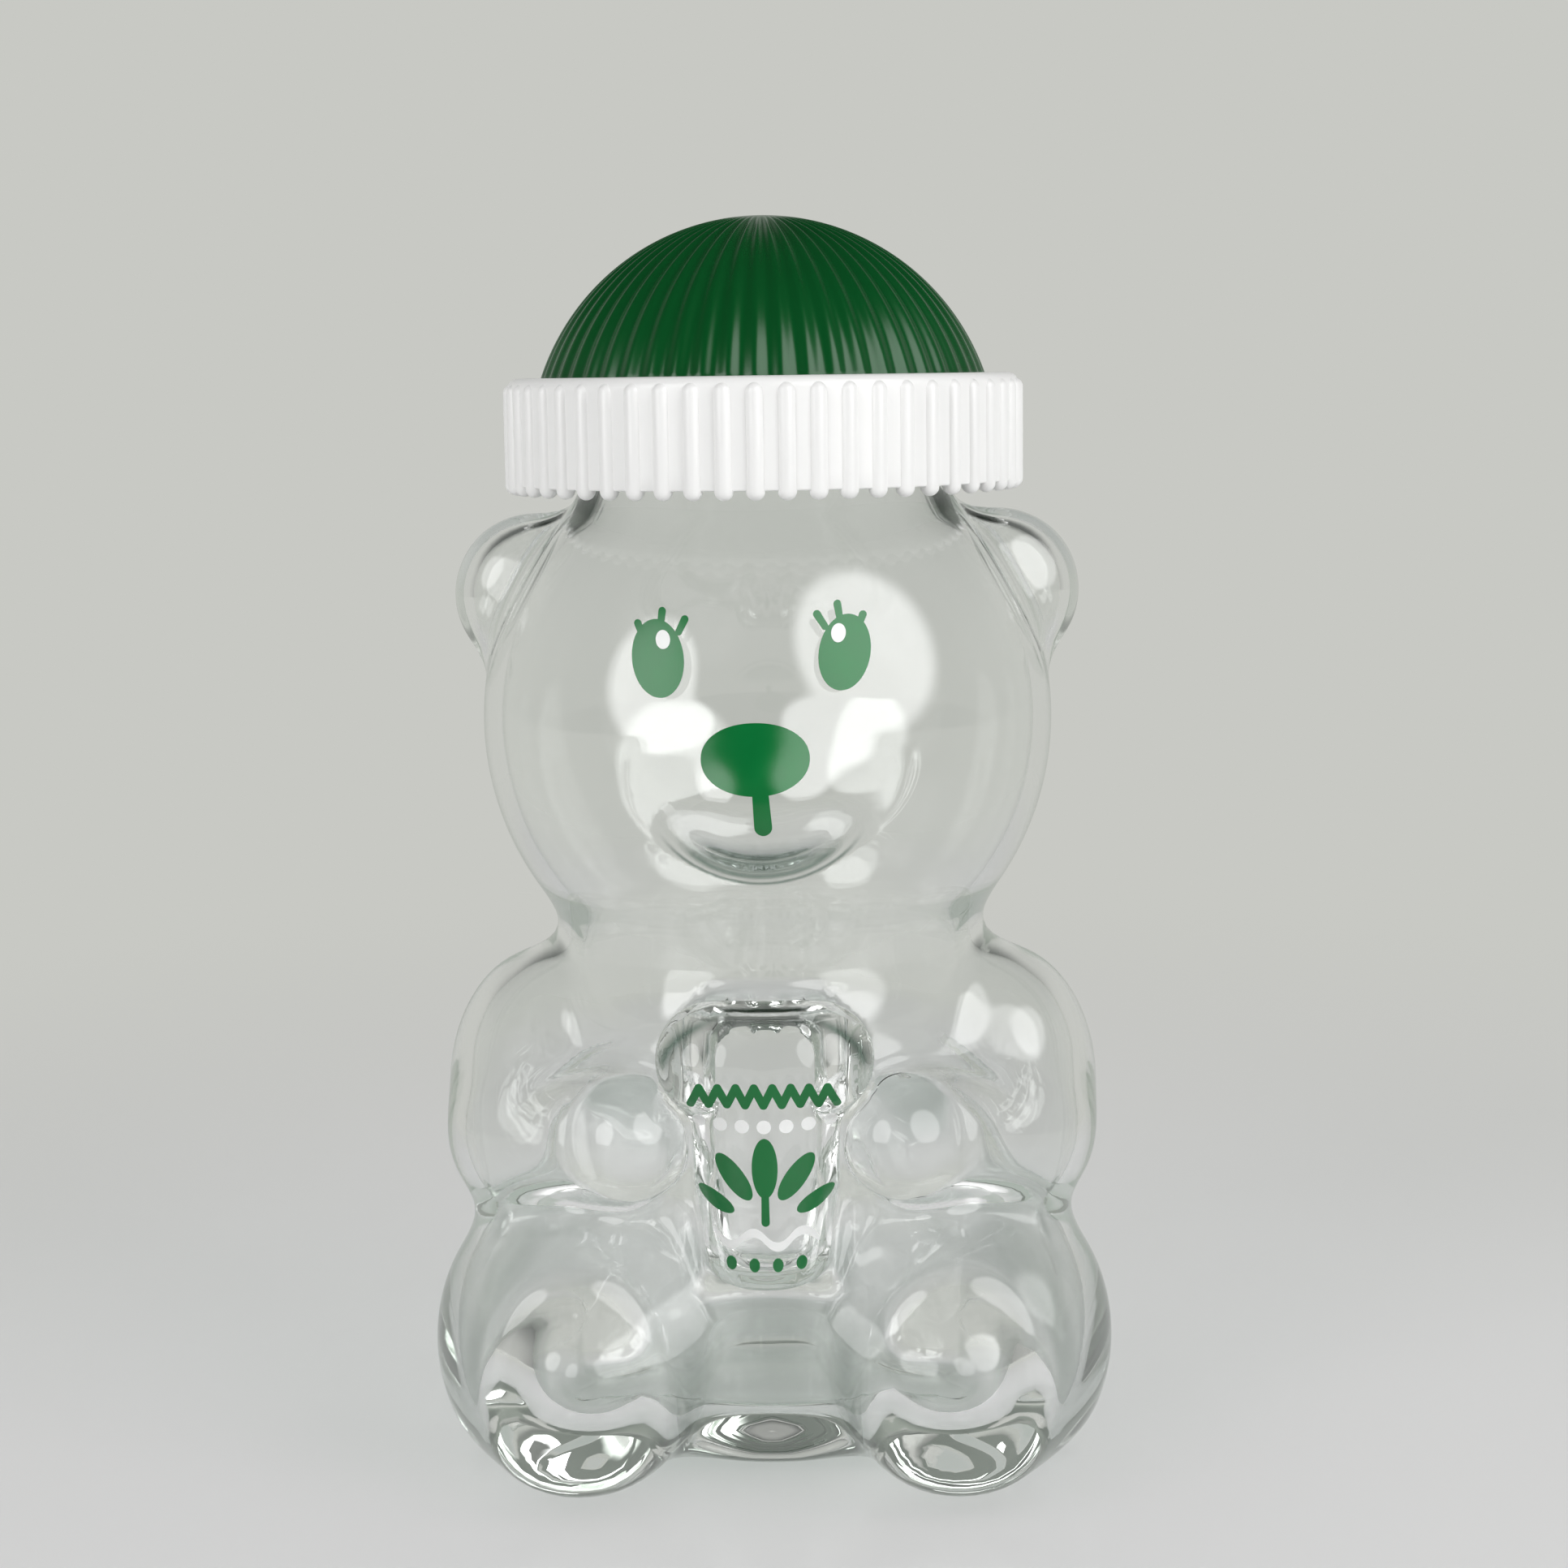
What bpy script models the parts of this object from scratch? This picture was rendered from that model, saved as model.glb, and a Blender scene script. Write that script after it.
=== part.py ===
"""Bear-shaped drinking glass: a blown clear bear with a screw neck, and a green
domed lid with a white ribbed brim over a soft seal. Metres, +Z up, the bear
faces -Y and the neck stands on the Z axis."""

import math

import bpy
import numpy as np

# Head
head_height = 0.1035
head_half_width = 0.0404
head_half_depth = 0.0385
head_half_height = 0.0408
head_blend = 0.0075
neck_blend = 0.0035

# Neck and screw finish of the glass, above the head
neck_radius = 0.0255
neck_root_rise = 0.0341
neck_length = 0.0094
lip_rounding = 0.0011
neck_root_height = head_height + neck_root_rise
lip_height = neck_root_height + neck_length

# Ears
ear_side = 0.033
ear_rise = 0.0177
ear_radius = 0.0115
ear_half_thickness = 0.0075
ear_set_back = 0.002
ear_blend = 0.004

# Snout
snout_forward = 0.0305
snout_drop = 0.0063
snout_half_width = 0.0138
snout_half_depth = 0.0135
snout_half_height = 0.0112
snout_blend = 0.0028

# Torso and rump
chest_height = 0.0615
chest_radius = 0.0305
belly_height = 0.008
belly_radius = 0.0275
rump_height = 0.020
rump_set_back = 0.0136
rump_half_width = 0.036
rump_half_depth = 0.0302
rump_half_height = 0.034
torso_blend = 0.012

# Arms and paws
arm_side = 0.033
arm_height = 0.0503
arm_half_width = 0.0138
arm_half_depth = 0.017
arm_half_height = 0.0199
arm_forward = 0.002
elbow_side = 0.0345
elbow_forward = 0.0135
elbow_height = 0.0455
elbow_radius = 0.0105
paw_side = 0.0185
paw_forward = 0.0315
paw_height = 0.0505
paw_radius = 0.0082
elbow_blend = 0.006
arm_blend = 0.007

# Legs and feet
thigh_side = 0.0285
thigh_forward = 0.0115
thigh_height = 0.0165
thigh_half_width = 0.0197
thigh_half_depth = 0.0255
thigh_half_height = 0.0220
foot_side = 0.0255
foot_forward = 0.0255
foot_height = 0.0190
foot_half_width = 0.0165
foot_half_depth = 0.0255
foot_half_height = 0.0210
sole_forward = 0.0443
sole_blend = 0.004
pad_radius = 0.0115
pad_depth = 0.0012
leg_blend = 0.006
hip_blend = 0.010

# Hollow of the legs, with thick glass at the soles and the sides
hollow_thigh_side = 0.026
hollow_thigh_forward = 0.009
hollow_thigh_height = 0.020
hollow_thigh_half_width = 0.0182
hollow_thigh_half_depth = 0.021
hollow_thigh_half_height = 0.018
hollow_foot_side = 0.0225
hollow_foot_forward = 0.024
hollow_foot_height = 0.0165
hollow_foot_half_width = 0.0105
hollow_foot_half_depth = 0.0158
hollow_foot_half_height = 0.0105

# Beaker that the bear holds
beaker_forward = 0.0305
beaker_top_height = 0.059
beaker_foot_height = 0.0305
beaker_top_radius = 0.0118
beaker_foot_radius = 0.0078
beaker_foot_blend = 0.003
beaker_lid_forward = 0.0338
beaker_lid_height = 0.0602
beaker_lid_radius = 0.0088
beaker_lid_half_width = 0.0148
beaker_lid_blend = 0.0018
beaker_blend = 0.004

# Walls and base
wall = 0.0026
floor_thickness = 0.0075
floor_blend = 0.006
floor_edge_lift = 0.0015
base_edge_blend = 0.0078
base_edge_height = 0.0085
push_up_height = 0.0008
dish_radius = 0.0195
cast_reach = 0.075
probe_step = 0.00001

# Gap left between pieces that touch
seat_gap = 0.0003

# Domed cap, its radii worked out from the neck outwards
thread_gap = 0.0019
skirt_wall = 0.0022
skirt_height = 0.0135
ledge_reach = 0.0046
ledge_thickness = 0.0015
dome_overhang = 0.0015
flange_reach = 0.0028
flange_thickness = 0.0015
skirt_inner_radius = neck_radius + thread_gap
skirt_outer_radius = skirt_inner_radius + skirt_wall
dome_base_radius = skirt_outer_radius + dome_overhang
flange_radius = dome_base_radius + flange_reach
dome_rise = 0.022
dome_wall = 0.002
dome_rib_depth = 0.0006
dome_disc_radius = 0.0045

# Seal, loose in the skirt of the cap
seal_side_gap = 0.0008
seal_width = 0.0044
seal_thickness = 0.0018
seal_rounding = 0.0004
seal_outer_radius = skirt_inner_radius - seal_side_gap
seal_inner_radius = seal_outer_radius - seal_width

# Brim
brim_deck_lift = 0.0008
brim_height = 0.0147
brim_wall = 0.0022
brim_radius = flange_radius + seat_gap + brim_wall
brim_deck_thickness = 0.0018
brim_rounding = 0.0016
brim_rib_depth = 0.0007
bead_radius = 0.0013

# Shares and counts
rib_count = 54
rib_fade = 4
around_count = 64
busy_crowding = 1.5
busy_spread = 0.38
body_row_count = 25
head_row_count = 16
inner_body_row_count = 15
inner_head_row_count = 8
dome_row_count = 8
dome_inner_row_count = 6
cast_steps = 150
cast_halvings = 26
relax_rounds = 12
relax_share = 0.6
steepness_floor = 0.25
base_edge_shares = (0.04, 0.14, 0.3, 0.52, 0.76)
standing_share = 0.95
dish_shares = (0.35, 0.75)
dish_rise_shares = (0.9, 0.4)
floor_share = 0.9
floor_middle_share = 0.5
glass_crease = 1.2
edge_crease = 0.6

half_pi = math.pi / 2


def clear_scene():
    for obj in list(bpy.data.objects):
        bpy.data.objects.remove(obj)
    for mesh in list(bpy.data.meshes):
        bpy.data.meshes.remove(mesh)


# Distance fields, negative inside


def ellipsoid(points, centre, radii):
    offset = points - np.array(centre)
    scaled = offset / np.array(radii)
    length = np.linalg.norm(scaled, axis=-1)
    slope = np.linalg.norm(scaled / np.array(radii), axis=-1)
    return length * (length - 1) / np.maximum(slope, 1)


def round_bar(points, start, end, start_radius, end_radius):
    start, end = np.array(start), np.array(end)
    along = end - start
    share = np.clip((points - start) @ along / (along @ along), 0, 1)
    nearest = start + share[..., None] * along
    radius = start_radius + share * (end_radius - start_radius)
    return np.linalg.norm(points - nearest, axis=-1) - radius


def joined(first, second, blend):
    overlap = np.maximum(blend - np.abs(first - second), 0)
    return np.minimum(first, second) - overlap**2 / (4 * blend)


def cut(first, second, blend):
    return -joined(-first, second, blend)


def head_field(points):
    field = ellipsoid(
        points,
        (0, 0, head_height),
        (head_half_width, head_half_depth, head_half_height),
    )
    radius = np.hypot(points[..., 0], points[..., 1])
    neck = np.maximum(radius - neck_radius, head_height - points[..., 2])
    field = joined(field, neck, neck_blend)
    snout = ellipsoid(
        points,
        (0, -snout_forward, head_height - snout_drop),
        (snout_half_width, snout_half_depth, snout_half_height),
    )
    return joined(field, snout, snout_blend)


def ear_field(sided):
    return ellipsoid(
        sided,
        (ear_side, ear_set_back, head_height + ear_rise),
        (ear_radius, ear_half_thickness, ear_radius),
    )


def torso_field(points):
    field = round_bar(
        points,
        (0, 0, belly_height),
        (0, 0, chest_height),
        belly_radius,
        chest_radius,
    )
    rump = ellipsoid(
        points,
        (0, rump_set_back, rump_height),
        (rump_half_width, rump_half_depth, rump_half_height),
    )
    return joined(field, rump, torso_blend)


def arm_field(sided):
    shoulder = ellipsoid(
        sided,
        (arm_side, -arm_forward, arm_height),
        (arm_half_width, arm_half_depth, arm_half_height),
    )
    forearm = round_bar(
        sided,
        (elbow_side, -elbow_forward, elbow_height),
        (paw_side, -paw_forward, paw_height),
        elbow_radius,
        paw_radius,
    )
    return joined(shoulder, forearm, elbow_blend)


def leg_field(sided):
    thigh = ellipsoid(
        sided,
        (thigh_side, -thigh_forward, thigh_height),
        (thigh_half_width, thigh_half_depth, thigh_half_height),
    )
    foot = ellipsoid(
        sided,
        (foot_side, -foot_forward, foot_height),
        (foot_half_width, foot_half_depth, foot_half_height),
    )
    field = joined(thigh, foot, leg_blend)
    field = cut(field, sided[..., 1] + sole_forward, sole_blend)
    pad = ellipsoid(
        sided,
        (foot_side, -sole_forward, foot_height),
        (pad_radius, pad_depth, pad_radius),
    )
    return cut(field, pad, pad_depth)


def leg_hollow_field(sided):
    thigh = ellipsoid(
        sided,
        (hollow_thigh_side, -hollow_thigh_forward, hollow_thigh_height),
        (hollow_thigh_half_width, hollow_thigh_half_depth, hollow_thigh_half_height),
    )
    foot = ellipsoid(
        sided,
        (hollow_foot_side, -hollow_foot_forward, hollow_foot_height),
        (hollow_foot_half_width, hollow_foot_half_depth, hollow_foot_half_height),
    )
    return joined(thigh, foot, leg_blend)


def beaker_field(points):
    field = round_bar(
        points,
        (0, -beaker_forward, beaker_foot_height),
        (0, -beaker_forward, beaker_top_height),
        beaker_foot_radius,
        beaker_top_radius,
    )
    return cut(field, points[..., 2] - beaker_foot_height, beaker_foot_blend)


def beaker_lid_field(points):
    side = beaker_lid_half_width - beaker_lid_radius
    return round_bar(
        points,
        (-side, -beaker_lid_forward, beaker_lid_height),
        (side, -beaker_lid_forward, beaker_lid_height),
        beaker_lid_radius,
        beaker_lid_radius,
    )


# Rows of points, each row one ring round the Z axis


def ring_angles(count, crowding, spread):
    """Angles from the front round, crowded at the front and at both ears."""
    fine = np.linspace(-half_pi, 3 * half_pi, 40 * count + 1)
    middle = (fine[1:] + fine[:-1]) / 2
    density = np.ones_like(middle)
    for busy in (-half_pi, 0, 2 * half_pi, 3 * half_pi):
        density += crowding * np.exp(-(((middle - busy) / spread) ** 2))
    total = np.concatenate(([0], np.cumsum(density)))
    shares = np.linspace(0, total[-1], count, endpoint=False)
    return np.interp(shares, total, fine)


def cast(field, angles, height, climb):
    """Where rays from the axis leave the field, climbing at the given angle."""
    way = np.stack(
        (
            np.cos(angles) * math.cos(climb),
            np.sin(angles) * math.cos(climb),
            np.full_like(angles, math.sin(climb)),
        ),
        axis=-1,
    )
    start = np.array((0, 0, height))
    reach = np.linspace(cast_reach, 0, cast_steps)
    inside = field(start + way[:, None] * reach[:, None]) < 0
    first = np.argmax(inside, axis=1)
    far, near = reach[first - 1], reach[first]
    for _ in range(cast_halvings):
        middle = (far + near) / 2
        within = field(start + way * middle[:, None]) < 0
        near = np.where(within, middle, near)
        far = np.where(within, far, middle)
    return start + way * near[:, None]


def settled(points, field):
    """The points moved straight onto the skin of the field."""
    for _ in range(3):
        slopes = [
            field(points + step) - field(points - step)
            for step in probe_step * np.identity(3)
        ]
        slope = np.stack(slopes, axis=-1) / (2 * probe_step)
        steepness = np.maximum((slope**2).sum(-1), steepness_floor)
        points = points - (field(points) / steepness)[..., None] * slope
    return points


def relaxed(rows, field):
    """The same rings spread more evenly over the skin, the end rings held."""
    grid = np.stack(rows)
    for _ in range(relax_rounds):
        level = (np.roll(grid, 1, axis=1) + np.roll(grid, -1, axis=1)) / 2
        upright = (grid[:-2] + grid[2:]) / 2
        middle = (level[1:-1] + upright) / 2
        moved = grid[1:-1] + relax_share * (middle - grid[1:-1])
        grid[1:-1] = settled(moved, field)
    return list(grid)


def circle(angles, radius, height):
    height = np.broadcast_to(height, angles.shape)
    return np.stack(
        (radius * np.cos(angles), radius * np.sin(angles), height), axis=-1
    )


def even_angles(count):
    return np.linspace(-half_pi, 3 * half_pi, count, endpoint=False)


def pole(height):
    return np.array(((0, 0, height),), dtype=float)


def stitched(first, second, first_count, second_count):
    """Faces between two rings, whose counts may differ by a whole number of times."""
    if first_count < second_count:
        faces = stitched(second, first, second_count, first_count)
        return [face[::-1] for face in faces]
    faces = []
    times = first_count // second_count
    for step in range(second_count):
        near = second + step
        far = second + (step + 1) % second_count
        fan = [first + (step * times + i) % first_count for i in range(times + 1)]
        if second_count == 1:
            faces += [(near, a, b) for a, b in zip(fan, fan[1:])]
        elif times == 1:
            faces.append((near, fan[0], fan[1], far))
        else:
            half = times // 2
            faces += [(near, a, b) for a, b in zip(fan[: half + 1], fan[1 : half + 1])]
            faces.append((near, fan[half], far))
            faces += [(far, a, b) for a, b in zip(fan[half:], fan[half + 1 :])]
    return faces


def solid_from_rows(name, rows, looped, crease):
    starts = np.cumsum([0] + [len(row) for row in rows])
    faces = []
    pairs = list(zip(range(len(rows)), range(1, len(rows))))
    if looped:
        pairs.append((len(rows) - 1, 0))
    for low, high in pairs:
        faces += stitched(starts[low], starts[high], len(rows[low]), len(rows[high]))
    points = np.concatenate(rows)
    mesh = bpy.data.meshes.new(name)
    mesh.from_pydata([tuple(map(float, p)) for p in points], [], faces)
    mesh.validate()
    if signed_volume(mesh) < 0:
        mesh.flip_normals()
    mesh.polygons.foreach_set("use_smooth", [True] * len(mesh.polygons))
    mesh.set_sharp_from_angle(angle=crease)
    obj = bpy.data.objects.new(name, mesh)
    bpy.context.scene.collection.objects.link(obj)
    return obj


def signed_volume(mesh):
    mesh.calc_loop_triangles()
    corners = np.array([v.co for v in mesh.vertices])
    index = np.array([t.vertices for t in mesh.loop_triangles])
    a, b, c = (corners[index[:, i]] for i in range(3))
    return float(np.einsum("ij,ij->i", a, np.cross(b, c)).sum())


# Glass


def shell_field(points, legs=leg_field):
    sided = np.array(points, dtype=float)
    sided[..., 0] = np.abs(sided[..., 0])
    field = joined(torso_field(points), legs(sided), hip_blend)
    field = joined(field, head_field(points), head_blend)
    field = joined(field, ear_field(sided), ear_blend)
    field = joined(field, arm_field(sided), arm_blend)
    field = joined(field, beaker_field(points), beaker_blend)
    return joined(field, beaker_lid_field(points), beaker_lid_blend)


def bear_field(points):
    """The outer skin, cut off by the table with a rounded edge."""
    return -joined(-shell_field(points), points[..., 2], base_edge_blend)


def cavity_field(points):
    above_floor = points[..., 2] - floor_thickness
    shell = shell_field(points, leg_hollow_field)
    return -joined(-shell - wall, above_floor, floor_blend)


def skin_rows(field, angles, low, rise, climbs):
    """Level rings up to the head, then rings that climb to the neck."""
    top_climb = math.atan2(neck_root_height - head_height, neck_radius)
    heights = low + (head_height - low) * np.array(rise)
    rows = [cast(field, angles, height, 0) for height in heights]
    for climb in top_climb * np.array(climbs):
        rows.append(cast(field, angles, head_height, climb))
    return rows


def scaled_ring(ring, share, height):
    scaled = ring * share
    scaled[:, 2] = height
    return scaled


def glass_outside(angles):
    edge = [cast(bear_field, angles, base_edge_height * s, 0) for s in base_edge_shares]
    rise = np.linspace(0, 1, body_row_count)
    climbs = np.linspace(0, 1, head_row_count + 1)[1:-1]
    rows = edge + skin_rows(bear_field, angles, base_edge_height, rise, climbs)
    rows.append(circle(angles, neck_radius, neck_root_height))
    rows = relaxed(rows, bear_field)
    foot = scaled_ring(rows[0], standing_share, 0)
    dish_edge = circle(angles, dish_radius, 0)
    under = [dish_edge, (foot + dish_edge) / 2, foot]
    dish = [
        circle(angles, dish_radius * share, push_up_height * lift)
        for share, lift in zip(dish_shares, dish_rise_shares)
    ]
    return [pole(push_up_height)] + dish + under + rows


def glass_lip(angles):
    bore = neck_radius - wall
    return [
        circle(angles, neck_radius, lip_height - lip_rounding),
        circle(angles, neck_radius - lip_rounding, lip_height),
        circle(angles, bore + lip_rounding, lip_height),
        circle(angles[::2], bore, lip_height - lip_rounding),
    ]


def glass_inside(angles):
    low = floor_thickness + floor_edge_lift
    rise = np.linspace(0, 1, inner_body_row_count)
    climbs = np.linspace(0, 1, inner_head_row_count + 1)[1:-1]
    rows = skin_rows(cavity_field, angles, low, rise, climbs)
    rows.append(circle(angles, neck_radius - wall, neck_root_height))
    rows = relaxed(rows, cavity_field)
    corner = scaled_ring(rows[0], floor_share, floor_thickness)
    middle = scaled_ring(corner, floor_middle_share, floor_thickness)
    return rows[::-1] + [corner, middle, pole(floor_thickness)]


def make_glass():
    angles = ring_angles(around_count, busy_crowding, busy_spread)
    rows = glass_outside(angles) + glass_lip(angles) + glass_inside(angles[::2])
    return solid_from_rows("glass_body", rows, False, glass_crease)


# Lid


def ledge_height():
    return lip_height + seal_thickness + 2 * seat_gap


def brim_top_height():
    return ledge_height() + ledge_thickness + brim_deck_lift


def dome_centre_height():
    return brim_top_height() + dome_rise - dome_radius()


def dome_radius():
    return (dome_base_radius**2 + dome_rise**2) / (2 * dome_rise)


def dome_rows(angles):
    """The ribbed outside, from its smooth top disc down to the brim."""
    radius, centre = dome_radius(), dome_centre_height()
    top = math.asin(dome_disc_radius / radius)
    base = math.asin(dome_base_radius / radius)
    rows = [pole(centre + radius), circle(even_angles(rib_count), dome_disc_radius,
                                          centre + radius * math.cos(top))]
    for share in np.linspace(0, 1, dome_row_count)[1:]:
        tilt = top + (base - top) * share
        depth = dome_rib_depth * math.sin(half_pi * min(1, share * rib_fade))
        groove = depth * (1 - np.cos(rib_count * (angles + half_pi))) / 2
        out = radius - groove
        rows.append(circle(angles, out * math.sin(tilt), centre + out * math.cos(tilt)))
    return rows


def cap_rows(angles):
    """Down the seat of the brim, round the flange and skirt, and up to the ledge."""
    flange_top = brim_top_height() - brim_deck_thickness - seat_gap
    skirt_foot_height = brim_top_height() - skirt_height
    ledge_top = ledge_height() + ledge_thickness
    profile = (
        (dome_base_radius, flange_top),
        (flange_radius, flange_top),
        (flange_radius, flange_top - flange_thickness),
        (skirt_outer_radius, flange_top - flange_thickness),
        (skirt_outer_radius, skirt_foot_height),
        (skirt_inner_radius, skirt_foot_height),
        (skirt_inner_radius, ledge_height()),
        (skirt_inner_radius - ledge_reach, ledge_height()),
        (skirt_inner_radius - ledge_reach, ledge_top),
    )
    return [circle(angles, radius, height) for radius, height in profile]


def dome_inside(angles):
    radius, centre = dome_radius() - dome_wall, dome_centre_height()
    ledge_top = ledge_height() + ledge_thickness
    base = math.acos((ledge_top - centre) / radius)
    rows = []
    for share in np.linspace(1, 0, dome_inner_row_count, endpoint=False):
        tilt = base * share
        rows.append(
            circle(angles, radius * math.sin(tilt), centre + radius * math.cos(tilt))
        )
    return rows + [pole(centre + radius)]


def make_cap():
    fine, coarse = even_angles(2 * rib_count), even_angles(rib_count)
    rows = dome_rows(fine) + cap_rows(coarse) + dome_inside(coarse)
    return solid_from_rows("dome_cap", rows, False, edge_crease)


def brim_outside(angles):
    """The ribbed outside of the brim, and the row of beads under it."""
    wave = np.cos(rib_count * (angles + half_pi))
    groove = brim_rib_depth * (1 - wave) / 2
    sideways = (1 - wave) / 2 * math.pi * brim_radius / rib_count
    drop = np.sqrt(np.maximum(bead_radius**2 - sideways**2, 0))
    shoulder = brim_rounding * (1 - math.cos(half_pi / 2))
    top = brim_top_height()
    foot = top - brim_height
    return [
        circle(angles, brim_radius - brim_rounding, top),
        circle(angles, brim_radius - shoulder - groove, top - shoulder),
        circle(angles, brim_radius - groove, top - brim_rounding),
        circle(angles, brim_radius - groove, foot),
        circle(angles, brim_radius - bead_radius, foot - drop),
    ]


def make_brim():
    coarse = even_angles(rib_count)
    inner = brim_radius - brim_wall
    top = brim_top_height()
    under = top - brim_deck_thickness
    bore = dome_base_radius + seat_gap
    rows = brim_outside(even_angles(4 * rib_count)) + [
        circle(coarse, inner, top - brim_height),
        circle(coarse, inner, under),
        circle(coarse, bore, under),
        circle(coarse, bore, top),
    ]
    return solid_from_rows("brim_ring", rows, True, edge_crease)


def make_seal():
    angles = even_angles(rib_count)
    foot = lip_height + seat_gap
    top = foot + seal_thickness
    profile = (
        (seal_inner_radius, foot + seal_rounding),
        (seal_inner_radius + seal_rounding, foot),
        (seal_outer_radius - seal_rounding, foot),
        (seal_outer_radius, foot + seal_rounding),
        (seal_outer_radius, top - seal_rounding),
        (seal_outer_radius - seal_rounding, top),
        (seal_inner_radius + seal_rounding, top),
        (seal_inner_radius, top - seal_rounding),
    )
    rows = [circle(angles, radius, height) for radius, height in profile]
    return solid_from_rows("seal_gasket", rows, True, edge_crease)


# Materials


def principled(name, colour, roughness):
    material = bpy.data.materials.new(name)
    material.use_nodes = True
    shader = material.node_tree.nodes["Principled BSDF"]
    shader.inputs["Base Color"].default_value = (*colour, 1)
    shader.inputs["Metallic"].default_value = 0
    shader.inputs["Roughness"].default_value = roughness
    return material, shader


def clear_glass():
    material, shader = principled("clear_glass", (0.94, 0.96, 0.95), 0.03)
    shader.inputs["Transmission Weight"].default_value = 1
    shader.inputs["IOR"].default_value = 1.5
    return material


def green_plastic():
    return principled("green_plastic", (0.003, 0.075, 0.016), 0.22)[0]


def white_plastic():
    return principled("white_plastic", (0.86, 0.86, 0.85), 0.3)[0]


def milky_silicone():
    return principled("milky_silicone", (0.72, 0.73, 0.72), 0.5)[0]


def main():
    clear_scene()
    make_glass().data.materials.append(clear_glass())
    make_cap().data.materials.append(green_plastic())
    make_brim().data.materials.append(white_plastic())
    make_seal().data.materials.append(milky_silicone())


main()
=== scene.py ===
"""Looks of the bear-shaped drinking glass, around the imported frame. Metres, +Z up, the
bear faces -Y. The glass, lid, brim and seal are fine versions of their solids; the face
and the beaker's pattern are thin printed films that lie on the glass."""

import math

import bmesh
import bpy
import numpy as np
from mathutils import Matrix, Vector


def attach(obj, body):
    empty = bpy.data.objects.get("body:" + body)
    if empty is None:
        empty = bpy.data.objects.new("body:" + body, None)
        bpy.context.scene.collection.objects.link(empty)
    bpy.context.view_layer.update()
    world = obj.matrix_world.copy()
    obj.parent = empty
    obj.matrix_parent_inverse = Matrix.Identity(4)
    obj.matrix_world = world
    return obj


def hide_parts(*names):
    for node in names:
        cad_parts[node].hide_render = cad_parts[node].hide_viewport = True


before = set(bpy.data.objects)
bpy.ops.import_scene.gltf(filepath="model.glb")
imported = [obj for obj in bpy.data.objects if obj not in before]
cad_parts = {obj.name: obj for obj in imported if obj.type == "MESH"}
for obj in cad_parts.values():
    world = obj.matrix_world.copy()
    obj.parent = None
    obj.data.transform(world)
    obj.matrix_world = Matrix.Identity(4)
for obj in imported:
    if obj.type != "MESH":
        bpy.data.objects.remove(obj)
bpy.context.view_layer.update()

MM = 0.001
HALF_PI = math.pi / 2
TAU = 2 * math.pi


# Camera: lens, tilt and place fitted to the photograph


FOCAL_PX, IMAGE_PX = 3332, 1932
SENSOR_WIDTH = 36
CAMERA_TILT = math.radians(8.6)
CAMERA_ROLL = math.radians(0.8)
CAMERA_TURN = math.radians(1.5)
CAMERA_PLACE = (0.0022, -0.384, 0.1517)
NEAREST_SEEN = 0.02


def make_camera():
    data = bpy.data.cameras.new("photo_camera")
    data.sensor_width = SENSOR_WIDTH
    data.lens = data.sensor_width * FOCAL_PX / IMAGE_PX
    data.clip_start = NEAREST_SEEN
    forward = Vector((0, math.cos(CAMERA_TILT), -math.sin(CAMERA_TILT)))
    level_up = Vector((0, math.sin(CAMERA_TILT), math.cos(CAMERA_TILT)))
    level_right = Vector((1, 0, 0))
    right = math.cos(CAMERA_ROLL) * level_right - math.sin(CAMERA_ROLL) * level_up
    up = math.sin(CAMERA_ROLL) * level_right + math.cos(CAMERA_ROLL) * level_up
    place = Matrix((right, up, -forward)).transposed().to_4x4()
    place.translation = CAMERA_PLACE
    camera = bpy.data.objects.new("photo_camera", data)
    bpy.context.scene.collection.objects.link(camera)
    camera.matrix_world = Matrix.Rotation(CAMERA_TURN, 4, "Z") @ place
    bpy.context.scene.camera = camera


make_camera()
bpy.context.scene.view_settings.view_transform = "Standard"


# Forms of the bear in mm: centre and half sizes, or both ends and both radii


HEAD = ((0, 0, 103.5), (40.4, 38.5, 40.8))
SNOUT = ((0, -30.5, 97.2), (13.8, 13.15, 11.2))
EAR = ((33, 2, 121.2), (11.5, 7.5, 11.5))
BELLY = ((0, 0, 8), (0, 0, 61.5), 27.5, 30.5)
RUMP = ((0, 13.6, 20), (36, 30.18, 34))
SHOULDER = ((33, -2, 50.3), (13.79, 17, 19.9))
FOREARM = ((34.5, -13.5, 45.5), (18.5, -31.5, 50.5), 10.5, 8.2)
THIGH = ((28.5, -11.5, 16.5), (19.69, 25.5, 22))
FOOT = ((25.5, -25.5, 19), (16.5, 25.5, 21))
SOLE_DENT = ((25.5, -44.3, 19), (11.5, 1.2, 11.5))
SOLE_FRONT = 44.3
THIGH_ROOM = ((26, -9, 20), (18.2, 21, 18))
FOOT_ROOM = ((24, -24, 18.5), (13.5, 15.8, 12.5))
BEAKER = ((0, -30.5, 30.5), (0, -30.5, 60), 7.8, 10.9)
BEAKER_FOOT, BEAKER_TOP = 30.5, 64
BEAKER_LID = ((-6.8, -33.8, 61.8), (6.8, -33.8, 61.8), 7.8, 7.8)


# How far the forms run into each other, in mm


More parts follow.
